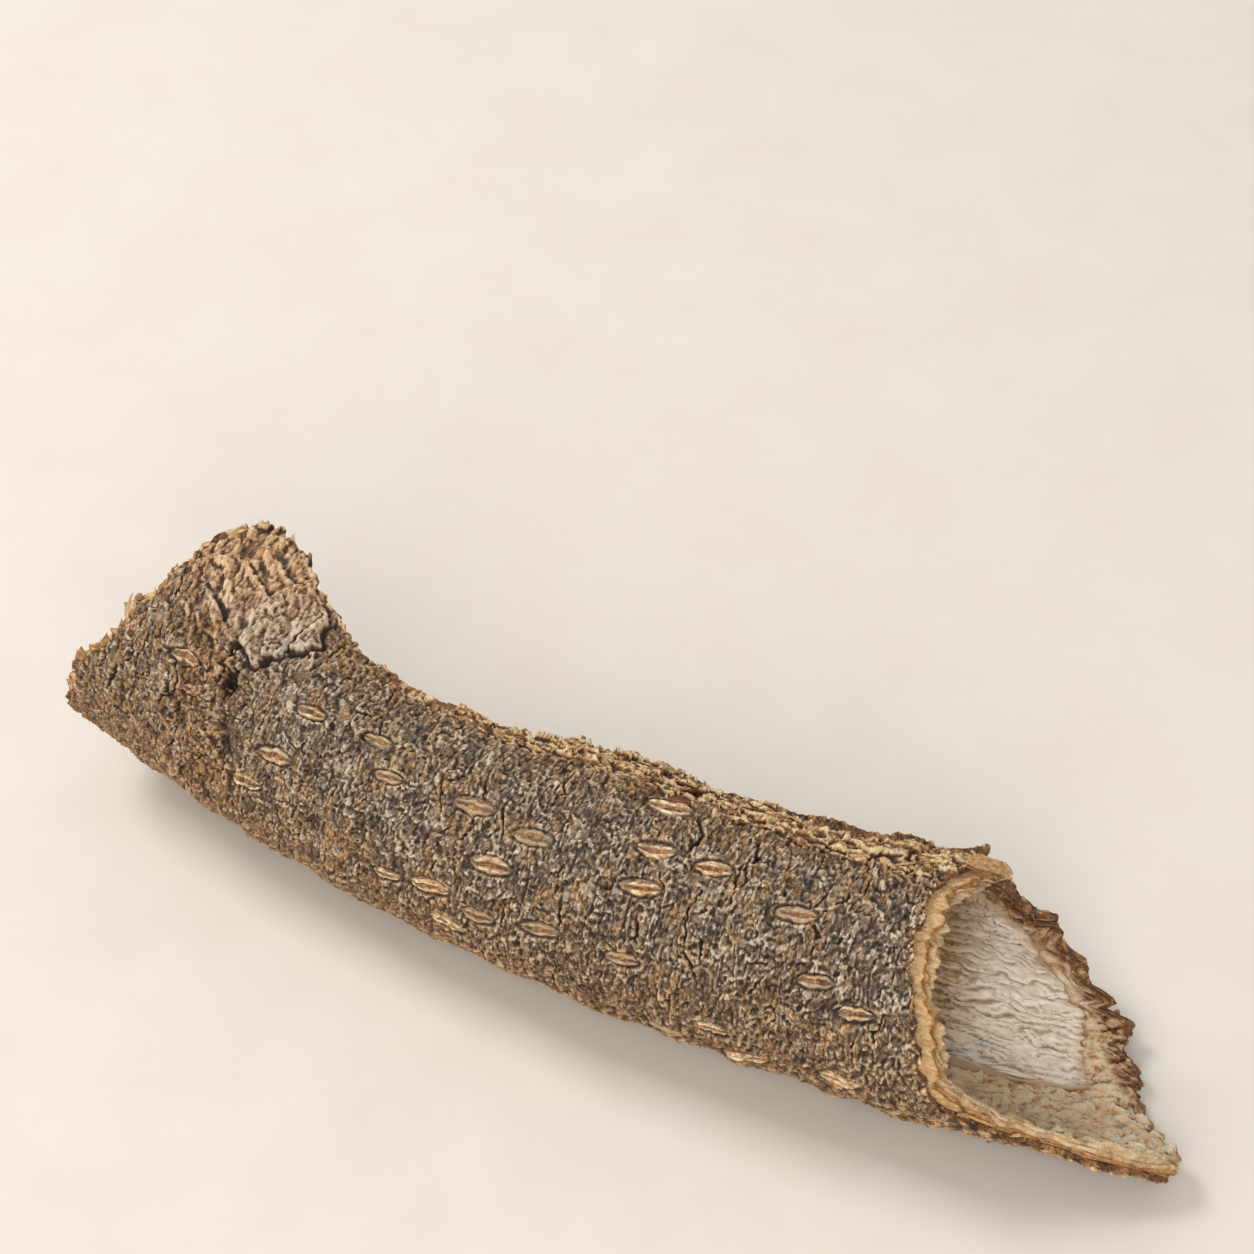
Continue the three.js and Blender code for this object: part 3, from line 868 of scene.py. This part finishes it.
def lining(material):
    u, v = crowded_grid(LINING_CELLS, LINING_SPREAD)
    u = u[::-1]
    x, angle = lining_place(u, v)
    round_it = arc(angle)
    sheets, painted_ledge_shadow = lining_sheets(x, round_it)
    edge = from_edge(u, v, LINING_LENGTH, LINING_ROUND)
    curl = 0.6 * smooth(1 - edge / 2.2) * smooth(0.5 + layered_grain(x / 4, round_it / 4, 279, 2))
    deep = smooth((50 - x) / 8) * smooth((x - 26) / 10)
    crumble = 0.7 * slabs(x, round_it, 2.8, 1.6, 281) + 0.3 * slabs(x, round_it, 1.2, 0.9, 291)
    bumps = 0.12 * layered_grain(x / 1.2, round_it / 0.8, 275, 3)
    height = sheets + bumps + (0.2 + 0.7 * deep) * crumble + curl
    depth = WALL + LINING + np.maximum(height, LINING_LEAST - LINING)
    # The colour paints a shadow under each sheet's free edge, and paints crests lighter and hollows darker.
    marks = {"painted_ledge_shadow": painted_ledge_shadow, "crest": depth - blurred(depth, CREST_WINDOW), "deep": deep}
    face = surface(x, angle, depth, **marks, old=smooth((42 - x) / 14), edge=hump(edge, 0.5))
    plain = {"painted_ledge_shadow": 0, "crest": 0, "deep": 0, "old": 0, "edge": 1}

    def hidden(spots_x, spots_angle, sunk, shown):
        """Points at one depth, coloured as if they were at another."""
        points = quill_point(spots_x, spots_angle, sunk + 0 * spots_x)
        return points, sheet_masks(spots_x, spots_angle, shown + 0 * spots_x, **plain)
    rim = hidden(rim_of(x), rim_of(angle), WALL + 0.1, rim_of(depth))
    back = hidden(x[::LINING_STEP, ::LINING_STEP], angle[::LINING_STEP, ::LINING_STEP], WALL - 0.4, WALL)
    closed_sheet("lining", face, [rim], back, LINING_STEP, FINE_FACE_CHARTS, material)


# Lenticels

def lens_form(s, t, k):
    """Lenticel k's height and masks at shares s along and t across: two lips with a channel between them."""
    middle = t - 0.3 * (draw(k, 1, 304) - 0.5)
    lip_place = lerp(0.5, 0.68, draw(k, 2, 304))
    broken = 1 + 0.6 * grain(s * 3.5, np.sign(middle) + 5 * k, 305) + 0.3 * grain(s * 11, t * 3 + 5 * k, 306)
    lip = hump(np.abs(middle) - lip_place, 0.24) * broken
    channel = smooth((lip_place - 0.2 - np.abs(middle)) / 0.22) * (1 - s ** 6)
    core = hump(middle - 0.1, 0.13) * (0.5 + 0.5 * grain(s * 5, k + 0.5, 307))
    dome = np.sqrt(1 - t ** 2) * np.sqrt(1 - s ** 4)
    rise = LENS_RISE * lerp(0.7, 1.2, draw(k, 3, 304))
    form = 0.45 * dome + dome * (0.8 * lip + 0.45 * channel * core - 0.45 * channel)
    masks = {"lip": np.clip(lip * dome, 0, 1), "channel": channel * (1 - 0.7 * core), "dome": dome}
    return rise * form - 0.25 * (1 - dome), masks


def lenticels(material):
    """Each lenticel is a grid whose border runs down to one point, its root."""
    count = len(LENTICELS)
    k = np.arange(count)[:, None, None]
    x, angle, size = [column[:, None, None] for column in np.transpose(LENTICELS)]
    shares = np.linspace(-1, 1, LENS_ALONG + 1), np.linspace(-1, 1, LENS_ROUND + 1)
    s, t = np.meshgrid(*shares, indexing="ij")
    outline = 1.02 * (1 - np.abs(s) ** 2.4) ** 0.65 + 0.03
    waver = 0.2 * grain(s * 1.8, k + 0.5, 301) + 0.08 * grain(s * 6, k + 0.5, 302)
    ragged = 1 + 0.3 * grain(s * 3, np.sign(t) + 9 * k, 303)
    along = s * LENTICEL_LENGTH / 2 * size
    across = (t * outline * ragged + waver) * LENTICEL_WIDTH / 2 * size
    lens_x = x + along * SLANT_COS - across * SLANT_SIN
    lens_angle = angle + angle_at(along * SLANT_SIN + across * SLANT_COS)
    form, masks = lens_form(s, t, k)
    height = low_relief(lens_x, lens_angle) + form - 0.05

    def rooted(values, root):
        """A row for each lenticel: the values of its grid and then that of its root."""
        grid = np.broadcast_to(values, height.shape).reshape(count, -1)
        return np.hstack([grid, np.broadcast_to(root, (count, 1, 1))[:, 0]])
    places = rooted(lens_x, x), rooted(lens_angle, angle)
    points = quill_point(*places, rooted(-height, LENS_ROOT))
    marks = {name: rooted(values, 0) for name, values in masks.items()}
    marks["sheet"] = np.stack([places[0], arc(places[1]), rooted(-height, 0)], axis=-1)
    marks["tint"] = rooted(draw(k, 4, 304), draw(k, 4, 304))
    ids = np.arange(s.size).reshape(s.shape)
    ring = np.append(rim_of(ids), ids[0, 0])
    sides = np.stack([ring[1:], ring[:-1], np.full(len(ring) - 1, s.size)], axis=1)
    faces = [quads_of(ids), sides]
    chart = np.vstack([rectangle(*s.shape, (0, 0), (1, 1)).reshape(-1, 2), [[1, 1]]])
    make_copies("lenticels", points, faces, chart, faces, marks, material)


# Torn chips

def chip_faces():
    """One chip's faces, and the same ones on the baking map, where the side has a ring of its own."""
    rings = 1 + np.arange(CHIP_RINGS * CHIP_SECTORS).reshape(CHIP_RINGS, CHIP_SECTORS)
    rings = np.hstack([rings, rings[:, :1]])
    under = 1 + CHIP_RINGS * CHIP_SECTORS
    fan = np.stack([np.zeros(CHIP_SECTORS, int), rings[0, :-1], rings[0, 1:]], axis=1)
    discs = quads_of(rings)
    side = np.stack([rings[-1, :-1], rings[-1, :-1] + under, rings[-1, 1:] + under, rings[-1, 1:]], axis=1)
    side_map = np.where(side >= under, side + under, side)
    faces = [fan, discs, fan[:, ::-1] + under, discs[:, ::-1] + under, side]
    return faces, faces[:-1] + [side_map]


def chips(name, spots, material):
    """Curled flakes, one for each row of spots."""
    x, angle, depth, size, turn, tilt, curl, thickness, tint = [column[:, None] for column in spots.T]
    ring = np.append(0, np.repeat(np.arange(1, CHIP_RINGS + 1) / CHIP_RINGS, CHIP_SECTORS))
    sector = np.append(0, np.tile(np.arange(CHIP_SECTORS), CHIP_RINGS))
    sweep = 2 * np.pi * sector / CHIP_SECTORS
    which = np.arange(len(spots))[:, None]
    ragged = 1 + 0.35 * grain(sector / 3, which + 0.5, 401) + 0.35 * (draw(which, sector, 402) - 0.5)
    a = CHIP_STRETCH * size * ring * ragged * np.cos(sweep)
    b = size * ring * ragged * np.sin(sweep)
    bumps = 0.16 * size * ring * (draw(which, sector + 20 * np.round(ring * CHIP_RINGS), 403) - 0.5)
    low = curl * b * b / size + bumps
    high = low + thickness * (1 - 0.75 * ring * ring)
    along, round_it, outward = quill_axes(x[:, 0], angle[:, 0])
    turn, tilt = np.radians(turn), np.radians(tilt)
    axis_a = along * np.cos(turn) + round_it * np.sin(turn)
    flat_b = round_it * np.cos(turn) - along * np.sin(turn)
    axis_b = flat_b * np.cos(tilt) + outward * np.sin(tilt)
    axis_n = outward * np.cos(tilt) - flat_b * np.sin(tilt)
    flat = quill_point(x, angle, depth) + a[..., None] * axis_a[:, None] + b[..., None] * axis_b[:, None]
    points = np.hstack([flat + side[..., None] * axis_n[:, None] for side in (high, low)])
    points[..., 2] = np.maximum(points[..., 2], 0)
    place = np.stack([x + a, arc(angle) + b, 0 * a + depth], axis=-1)
    masks = {"sheet": np.hstack([place, place]), "tint": tint * np.ones(2 * len(ring))}
    disc = 0.2 * np.stack([ring * np.cos(sweep), ring * np.sin(sweep)], axis=1)
    chart = np.concatenate([disc + [0.24, 0.5], disc + [0.74, 0.5], 1.15 * disc + [0.24, 0.5]])
    faces, map_faces = chip_faces()
    make_copies(name, points, faces, chart, map_faces, masks, material, rounded=False)


def chip_row(count, first, seed, place, depths, thickness, *spans):
    """Chips along a torn edge. spans are those of size, turn, tilt, curl and tint."""
    across, back = np.transpose([even_pair(k) for k in range(first, first + count)])
    x, angle = place(across, back)
    drawn = [lerp(*span, draw(np.arange(count), j, seed)) for j, span in enumerate(spans)]
    return np.column_stack([x, angle, lerp(*depths, back), *drawn[:4], np.full(count, thickness), drawn[4]])


def right_rim(angles, setback, run):
    def place(across, back):
        angle = lerp(*angles, across)
        return through(RIGHT_END, angle) + rag(arc(angle), RAG_SEED["right"]) - setback - run * back, angle
    return place


def left_rim(across, back):
    angle = lerp(-70, 100, across)
    return left_end(angle) - rag(arc(angle), RAG_SEED["left"]) + 0.4 + 1.6 * back ** 2, angle


def top_rim(across, back):
    u = lerp(0.26, 1.0, across)
    return sheet_place(u, 1 - through(TORN_STRIP, u) * back / SHEET_ROUND, lambda side, where: 0)


def rim_chips(material):
    far = chip_row(44, 1, 411, right_rim((-190, -66), 0.9, 2.8), (0.8, 2.0), 0.25,
                   (0.3, 0.8), (60, 130), (150, 225), (0.1, 0.7), (0.1, 0.7))
    low = chip_row(44, 501, 461, right_rim((-100, -14), 0.2, 1.6), (1.4, 0.1), 0.22,
                   (0.3, 0.8), (60, 120), (-40, 40), (-0.2, 0.5), (0.1, 0.9))
    top = chip_row(64, 301, 421, top_rim, (0.5, 0.0), 0.22,
                   (0.25, 0.8), (-35, 35), (-45, 50), (-0.2, 0.6), (0.1, 0.8))
    left = chip_row(40, 701, 431, left_rim, (0.7, 0.0), 0.2,
                    (0.3, 0.8), (55, 125), (-40, 40), (-0.3, 0.5), (0.1, 0.9))
    chips("rim_chips", np.concatenate([far, low, top, left, [CORNER_FLAP]]), material)


# Materials

def tone(red, green, blue):
    """A colour from screen values of 0 to 255."""
    share = np.array([red, green, blue]) / 255
    linear = np.where(share <= 0.04045, share / 12.92, ((share + 0.055) / 1.055) ** 2.4)
    return (*linear.tolist(), 1.0)


class Look:
    """A material under construction. Each call adds nodes and returns their output."""

    def __init__(self, name, roughness, specular):
        self.material = bpy.data.materials.new(name)
        self.material.use_nodes = True
        self.tree = self.material.node_tree
        self.tree.nodes.clear()
        self.shader = self.node("ShaderNodeBsdfPrincipled")
        self.shader.inputs["Roughness"].default_value = roughness
        self.shader.inputs["Specular IOR Level"].default_value = specular
        output = self.node("ShaderNodeOutputMaterial")
        self.link(self.shader.outputs["BSDF"], output.inputs["Surface"])
        self.sheet = self.node("ShaderNodeAttribute", attribute_name="sheet").outputs["Vector"]

    def node(self, kind, **settings):
        node = self.tree.nodes.new(kind)
        for name, value in settings.items():
            setattr(node, name, value)
        return node

    def link(self, value, socket):
        if isinstance(value, bpy.types.NodeSocket):
            self.tree.links.new(value, socket)
        else:
            socket.default_value = value

    def fed(self, kind, *values, **settings):
        """A node whose first inputs take the values."""
        node = self.node(kind, **settings)
        for socket, value in zip(node.inputs, values):
            self.link(value, socket)
        return node

    def mask(self, name):
        return self.node("ShaderNodeAttribute", attribute_name=name).outputs["Fac"]

    def split(self, vector):
        return self.fed("ShaderNodeSeparateXYZ", vector).outputs

    def place(self, along, round_it, shift):
        """Sheet coordinates with that many units for each millimetre along and round the quill."""
        units = along, round_it, min(along, round_it)
        node = self.fed("ShaderNodeVectorMath", self.sheet, units, 3 * (shift,), operation="MULTIPLY_ADD")
        return node.outputs[0]

    def noise_at(self, place, detail, roughness):
        node = self.node("ShaderNodeTexNoise")
        self.link(place, node.inputs["Vector"])
        node.inputs["Scale"].default_value = 1.0
        node.inputs["Detail"].default_value = detail
        node.inputs["Roughness"].default_value = roughness
        return node.outputs["Fac"]

    def noise(self, along, round_it, shift, detail=4, roughness=0.6):
        return self.noise_at(self.place(along, round_it, shift), detail, roughness)

    def swing(self, *noise):
        """Noise with most of its range spread from -1 to 1."""
        return self.span(self.noise(*noise), 0.3, 0.7, -1.0, 1.0)

    def cells(self, along, round_it, shift):
        """Voronoi cells: each one's own draw, and the distance from its centre."""
        node = self.node("ShaderNodeTexVoronoi")
        self.link(self.place(along, round_it, shift), node.inputs["Vector"])
        node.inputs["Scale"].default_value = 1.0
        return self.split(node.outputs["Color"])[0], node.outputs["Distance"]

    def ramp(self, value, *stops):
        """A colour from stops of a position, red, green and blue."""
        node = self.fed("ShaderNodeValToRGB", value)
        elements = node.color_ramp.elements
        while len(elements) < len(stops):
            elements.new(0.5)
        for element, (position, *colour) in zip(elements, stops):
            element.position = position
            element.color = tone(*colour)
        return node.outputs["Color"]

    def span(self, value, low, high, low_out=0.0, high_out=1.0):
        """A value from low to high mapped to another range, held at its ends."""
        return self.fed("ShaderNodeMapRange", value, low, high, low_out, high_out).outputs["Result"]

    def math(self, operation, *values):
        return self.fed("ShaderNodeMath", *values, operation=operation).outputs[0]

    def times(self, a, b):
        return self.math("MULTIPLY", a, b)

    def most(self, a, b):
        return self.math("MAXIMUM", a, b)

    def total(self, *terms, start=0.0):
        """The sum of (value, weight) terms."""
        for value, weight in terms:
            start = self.math("MULTIPLY_ADD", value, weight, start)
        return start

    def mix(self, share, a, b, blend="MIX"):
        node = self.node("ShaderNodeMix", data_type="RGBA", blend_type=blend)
        for socket, value in zip((0, 6, 7), (share, a, b)):
            self.link(value, node.inputs[socket])
        return node.outputs[2]

    def tinted(self, share, colour, *tint):
        """A colour multiplied by a tint, to a share from 0 to 1."""
        return self.mix(share, colour, self.mix(1.0, colour, tone(*tint), "MULTIPLY"))

    def finish(self, colour, relief, depth):
        """The finished material, with a relief of that depth in its bump."""
        bump = self.node("ShaderNodeBump")
        bump.inputs["Distance"].default_value = depth * MM
        self.link(relief, bump.inputs["Height"])
        self.link(colour, self.shader.inputs["Base Color"])
        self.link(bump.outputs["Normal"], self.shader.inputs["Normal"])
        return self.material


def weathered(look, colour, patch, fine, flake_edge):
    """Warmer flanks, crown and left end, with rusty spots in stained places."""
    along, round_it, _ = look.split(look.sheet)
    flank = look.span(round_it, arc(38.0), arc(-25.0), 0.0, 0.8)
    warm = look.most(flank, look.span(round_it, arc(84.0), arc(100.0), 0.0, 0.6))
    colour = look.tinted(warm, colour, 248, 212, 166)
    stain = look.most(look.mask("ochre"), look.span(patch, 0.48, 0.64))
    stain = look.most(stain, look.times(warm, 0.55))
    stain = look.most(stain, look.span(along, -34.0, -50.0, 0.0, 0.7))
    spots = look.noise(1.4, 0.75, 31, 4, 0.7)
    # The rust is lighter on the rims of small flakes: a painted highlight.
    rust = look.ramp(
        look.total((spots, 1.0), (fine, 0.12), (flake_edge, 0.2)),
        (0.36, 112, 72, 38), (0.52, 162, 112, 62), (0.68, 212, 164, 104), (0.85, 244, 214, 166))
    return look.mix(look.times(stain, look.span(spots, 0.45, 0.57, 0.0, 0.8)), colour, rust)


def outer_bark_look():
    look = Look("outer_bark", roughness=0.58, specular=0.5)
    crest, facet = look.mask("crest"), look.mask("facet")
    fine = look.swing(3.0, 2.6, 7, 3, 0.65)
    cloud = look.swing(0.4, 0.33, 17)
    patch = look.noise(0.22, 0.15, 11)
    flakelet = look.math("FRACT", look.times(look.noise(1.5, 1.1, 27, 3), 6.0))
    # flake_edge lightens the rim of each small flake: a painted highlight
    flake_edge = look.times(look.span(flakelet, 0.6, 0.85), look.span(flakelet, 1.0, 0.93))
    # glint: painted glints, bright spots standing in for sparkle off the flakes
    cell_draw, cell_distance = look.cells(2.3, 1.9, 37)
    glint = look.times(look.span(cell_draw, 0.66, 0.9), look.span(cell_distance, 0.5, 0.25))
    # Crests are painted lighter, a painted highlight. Each small flake is lighter or darker by its draw,
    # partly its own tone and partly painted light on how it sits. The brightest flakes get painted glints.
    high = look.span(crest, -0.1, 0.2, -1.0, 1.3)
    tilted = look.span(facet, 0.0, 1.0, -1.0, 1.0)
    painted_glint_flakes = look.span(facet, 0.7, 0.95)
    value = look.total(
        (fine, 0.18), (cloud, 0.26), (glint, 0.3), (flake_edge, 0.16), (high, 0.31), (tilted, 0.1),
        (painted_glint_flakes, 0.14), start=0.47)
    colour = look.ramp(
        value, (0.0, 45, 35, 27), (0.3, 84, 69, 55), (0.5, 121, 102, 82), (0.75, 174, 155, 130),
        (1.0, 232, 216, 192))
    colour = weathered(look, colour, patch, fine, flake_edge)
    pale = look.ramp(
        value, (0.0, 108, 84, 66), (0.3, 164, 136, 112), (0.5, 206, 180, 154), (0.75, 236, 214, 190),
        (1.0, 253, 241, 224))
    blend = look.math("ADD", look.mask("collar"), look.span(patch, 0.3, 0.7, -0.3, 0.3))
    colour = look.mix(look.span(blend, 0.25, 0.7, 0.0, 0.85), colour, pale)
    colour = look.tinted(look.span(look.mask("rough"), 0.1, 0.6), colour, 250, 228, 200)
    torn = look.ramp(
        value, (0.1, 74, 47, 29), (0.35, 128, 87, 54), (0.55, 176, 129, 82), (0.75, 218, 176, 122),
        (0.95, 248, 222, 176))
    colour = look.mix(look.times(look.mask("torn"), 0.92), colour, torn)
    # Painted shade: darker where the relief dips below its surroundings, at the foot of each small flake and
    # in broad hollows.
    low = look.most(look.span(crest, -0.02, -0.16, 0.0, 0.8), look.span(flakelet, 0.12, 0.0, 0.0, 0.35))
    low = look.most(low, look.span(look.mask("hollow"), 0.08, 0.45, 0.0, 0.85))
    colour = look.mix(low, colour, tone(50, 36, 26))
    # Painted shade in the cracks, the crease and under the loose plates' free edges, and fainter in the
    # groove round each lenticel.
    dark = look.most(look.span(look.mask("crack"), 0.2, 0.7), look.times(look.mask("moat"), 0.35))
    colour = look.mix(look.times(dark, 0.88), colour, tone(38, 26, 18))
    return look.finish(colour, look.total((fine, 0.35), (flakelet, 0.7), (glint, 0.5)), 0.16)


def inner_bark_look():
    look = Look("inner_bark", roughness=0.75, specular=0.3)
    crest = look.span(look.mask("crest"), -0.25, 0.25, -1.0, 1.0)
    inside = look.mask("inside")
    fibre = look.noise(0.5, 2.2, 5, 5, 0.65)
    crumb = look.swing(1.6, 1.6, 15, 5, 0.65)
    fine = look.swing(3.2, 3.2, 35, 3)
    rim = look.ramp(
        look.total((look.mask("layer"), 1.0), (crumb, 0.1)),
        (0.0, 124, 78, 42), (0.08, 182, 124, 70), (0.18, 228, 174, 112), (0.4, 253, 216, 164),
        (0.75, 255, 232, 194), (1.0, 242, 198, 140))
    # The fibre streaks are the inner bark's own brown; the same brown in the recesses between leaves is
    # painted shade.
    streak = look.span(fibre, 0.56, 0.36, 0.0, 0.55)
    painted_recess_shade = look.times(look.span(look.mask("recess"), 0.3, 0.9), look.span(crumb, -0.6, 0.5, 0.3, 0.9))
    rim = look.mix(look.most(streak, painted_recess_shade), rim, tone(164, 106, 48))
    rim = look.mix(look.span(look.noise(0.4, 0.4, 45, 4, 0.7), 0.5, 0.66, 0.0, 0.6), rim, tone(182, 126, 64))
    # value paints the rough face's crests lighter and its hollows darker, a painted highlight and painted
    # shade, mixed with crumbs of its own tone
    value = look.total((crumb, 0.17), (fine, 0.17), (crest, 0.36), start=0.68)
    hollow = look.ramp(
        value, (0.0, 128, 88, 54), (0.3, 216, 172, 126), (0.5, 253, 218, 176), (0.75, 255, 228, 190),
        (0.95, 255, 238, 208))
    rust = look.span(look.noise(0.22, 0.3, 25, 4, 0.7), 0.52, 0.68, 0.0, 0.6)
    hollow = look.mix(rust, hollow, tone(208, 160, 94))
    brown = look.ramp(
        value, (0.1, 58, 36, 24), (0.35, 104, 72, 50), (0.55, 146, 106, 76), (0.75, 190, 148, 108),
        (0.95, 226, 190, 146))
    torn = look.ramp(crumb, (0.1, 122, 82, 52), (0.5, 178, 130, 86), (0.8, 222, 182, 132))
    far = look.span(look.total((look.mask("far"), 1.0), (crumb, 0.18)), 0.25, 0.65, 0.0, 0.95)
    colour = look.mix(far, look.mix(inside, rim, hollow), look.mix(inside, torn, brown))
    return look.finish(colour, look.total((fine, 0.4), (crumb, 0.6), (fibre, 0.5)), 0.2)


def lining_look():
    look = Look("lining", roughness=0.8, specular=0.25)
    crest = look.span(look.mask("crest"), -0.2, 0.2, -1.0, 1.0)
    threads = look.swing(0.45, 2.6, 5, 4, 0.65)
    blotch = look.noise(0.14, 0.2, 9)
    dark_specks = look.noise(1.1, 1.9, 19, 3)
    # Crests painted lighter and hollows darker: painted highlight and painted shade.
    colour = look.ramp(
        look.total((threads, 0.1), (crest, 0.3), start=0.6),
        (0.05, 138, 117, 92), (0.3, 194, 177, 154), (0.5, 224, 211, 193), (0.8, 244, 235, 222))
    colour = look.mix(look.span(blotch, 0.52, 0.75, 0.0, 0.4), colour, tone(216, 192, 154))
    # Painted shadow under each sheet's free edge.
    colour = look.mix(look.times(look.mask("painted_ledge_shadow"), 0.6), colour, tone(120, 98, 74))
    # Darker specks.
    colour = look.mix(look.span(dark_specks, 0.33, 0.27, 0.0, 0.7), colour, tone(104, 82, 60))
    # Deep in the hollow the lining is tinted darker: partly painted shade from the near wall, partly its own
    # browner tone.
    colour = look.tinted(look.mask("deep"), colour, 196, 172, 140)
    colour = look.tinted(look.mask("old"), colour, 246, 222, 172)
    colour = look.mix(look.times(look.mask("edge"), 0.55), colour, tone(196, 156, 104))
    return look.finish(colour, threads, 0.06)


def lenticel_look():
    look = Look("lenticels", roughness=0.6, specular=0.35)
    streak = look.noise(1.3, 3.0, 3, 5, 0.75)
    breaks = look.noise(1.5, 0.4, 23, 4, 0.7)
    bark = look.ramp(streak, (0.3, 92, 74, 56), (0.5, 140, 118, 94), (0.7, 196, 174, 146))
    lip = look.ramp(streak, (0.34, 146, 94, 48), (0.47, 214, 168, 114), (0.6, 255, 240, 208))
    lip = look.mix(look.span(look.mask("tint"), 0.35, 0.9, 0.0, 0.65), lip, tone(172, 146, 116))
    colour = look.mix(look.span(look.mask("lip"), 0.15, 0.55), bark, lip)
    core = look.ramp(breaks, (0.38, 76, 40, 18), (0.5, 146, 86, 38), (0.64, 222, 168, 104))
    colour = look.mix(look.span(look.mask("channel"), 0.3, 0.8), colour, core)
    colour = look.mix(look.span(breaks, 0.36, 0.3), colour, tone(74, 48, 28))
    # Painted shade round each lenticel's foot, where its outline meets the bark.
    colour = look.mix(look.span(look.mask("dome"), 0.22, 0.03), colour, tone(74, 54, 38))
    return look.finish(colour, streak, 0.15)


def chip_look():
    """Each chip has its own tone of brown, by its draw, with speckles."""
    look = Look("chips", roughness=0.8, specular=0.25)
    speckle = look.noise(2.2, 1.6, 13, 5, 0.7)
    mixed = look.math("ADD", look.mask("tint"), look.span(speckle, 0.3, 0.7, -0.3, 0.3))
    colour = look.ramp(
        mixed, (0.0, 84, 56, 38), (0.3, 134, 96, 66), (0.55, 176, 136, 96), (0.8, 216, 180, 130),
        (1.0, 240, 216, 168))
    return look.finish(colour, speckle, 0.25)


def floor_look():
    look = Look("floor", roughness=0.9, specular=0.1)
    node = look.node("ShaderNodeVectorMath", operation="SCALE")
    look.link(look.node("ShaderNodeTexCoord").outputs["Object"], node.inputs[0])
    node.inputs["Scale"].default_value = FLOOR_MOTTLE
    mottle = look.noise_at(node.outputs[0], 5, 0.6)
    colour = look.ramp(mottle, (0.3, 229, 222, 214), (0.7, 234, 228, 220))
    return look.finish(colour, mottle, 0.05)


# Floor, light and camera

def stage():
    bpy.ops.mesh.primitive_plane_add(size=FLOOR_SIZE)
    floor = bpy.context.object
    floor.name = "floor"
    floor.data.materials.append(floor_look())
    world = bpy.data.worlds.new("studio")
    world.use_nodes = True
    background = world.node_tree.nodes["Background"]
    background.inputs["Color"].default_value = WORLD_COLOUR
    background.inputs["Strength"].default_value = WORLD_STRENGTH
    bpy.context.scene.world = world


def area_light(name, place, size, power, colour):
    light = bpy.data.lights.new(name, "AREA")
    light.size = size
    light.energy = power
    light.color = colour
    lamp = bpy.data.objects.new(name, light)
    lamp.location = place
    lamp.rotation_euler = (-Vector(place)).to_track_quat("-Z", "Y").to_euler()
    bpy.context.scene.collection.objects.link(lamp)


def camera():
    azimuth, elevation = np.radians(CAMERA_AZIMUTH), np.radians(CAMERA_ELEVATION)
    right = np.array([np.cos(azimuth), np.sin(azimuth), 0])
    level = np.array([-np.sin(azimuth), np.cos(azimuth), 0])
    up = level * np.sin(elevation) + np.array([0, 0, np.cos(elevation)])
    back = np.cross(right, up)
    place = np.array(CAMERA_AIM) + CAMERA_ACROSS * right + CAMERA_UP * up + CAMERA_DISTANCE * back
    lens = bpy.data.cameras.new("camera")
    lens.lens = CAMERA_LENS
    lens.sensor_width = CAMERA_SENSOR
    lens.clip_start = CAMERA_NEAR * MM
    rig = bpy.data.objects.new("camera", lens)
    turn = Matrix((right, up, back)).transposed().to_4x4()
    rig.matrix_world = Matrix.Translation(Vector(place * MM)) @ turn
    bpy.context.scene.collection.objects.link(rig)
    bpy.context.scene.camera = rig


stage()
area_light("key", **KEY_LIGHT)
area_light("fill", **FILL_LIGHT)
camera()
bark_look = outer_bark_look()
for part, span in (("left", (0, 1 / 3)), ("middle", (1 / 3, 2 / 3)), ("right", (2 / 3, 1))):
    outer_bark("outer_bark_" + part, FACE_CELLS, span, (BACK_SHARE, 1), bark_look)
outer_bark("outer_bark_back", BACK_CELLS, (0, 1), (0, BACK_SHARE), bark_look)
inner_bark(inner_bark_look())
lining(lining_look())
lenticels(lenticel_look())
rim_chips(chip_look())
bpy.context.scene.view_settings.view_transform = "Standard"
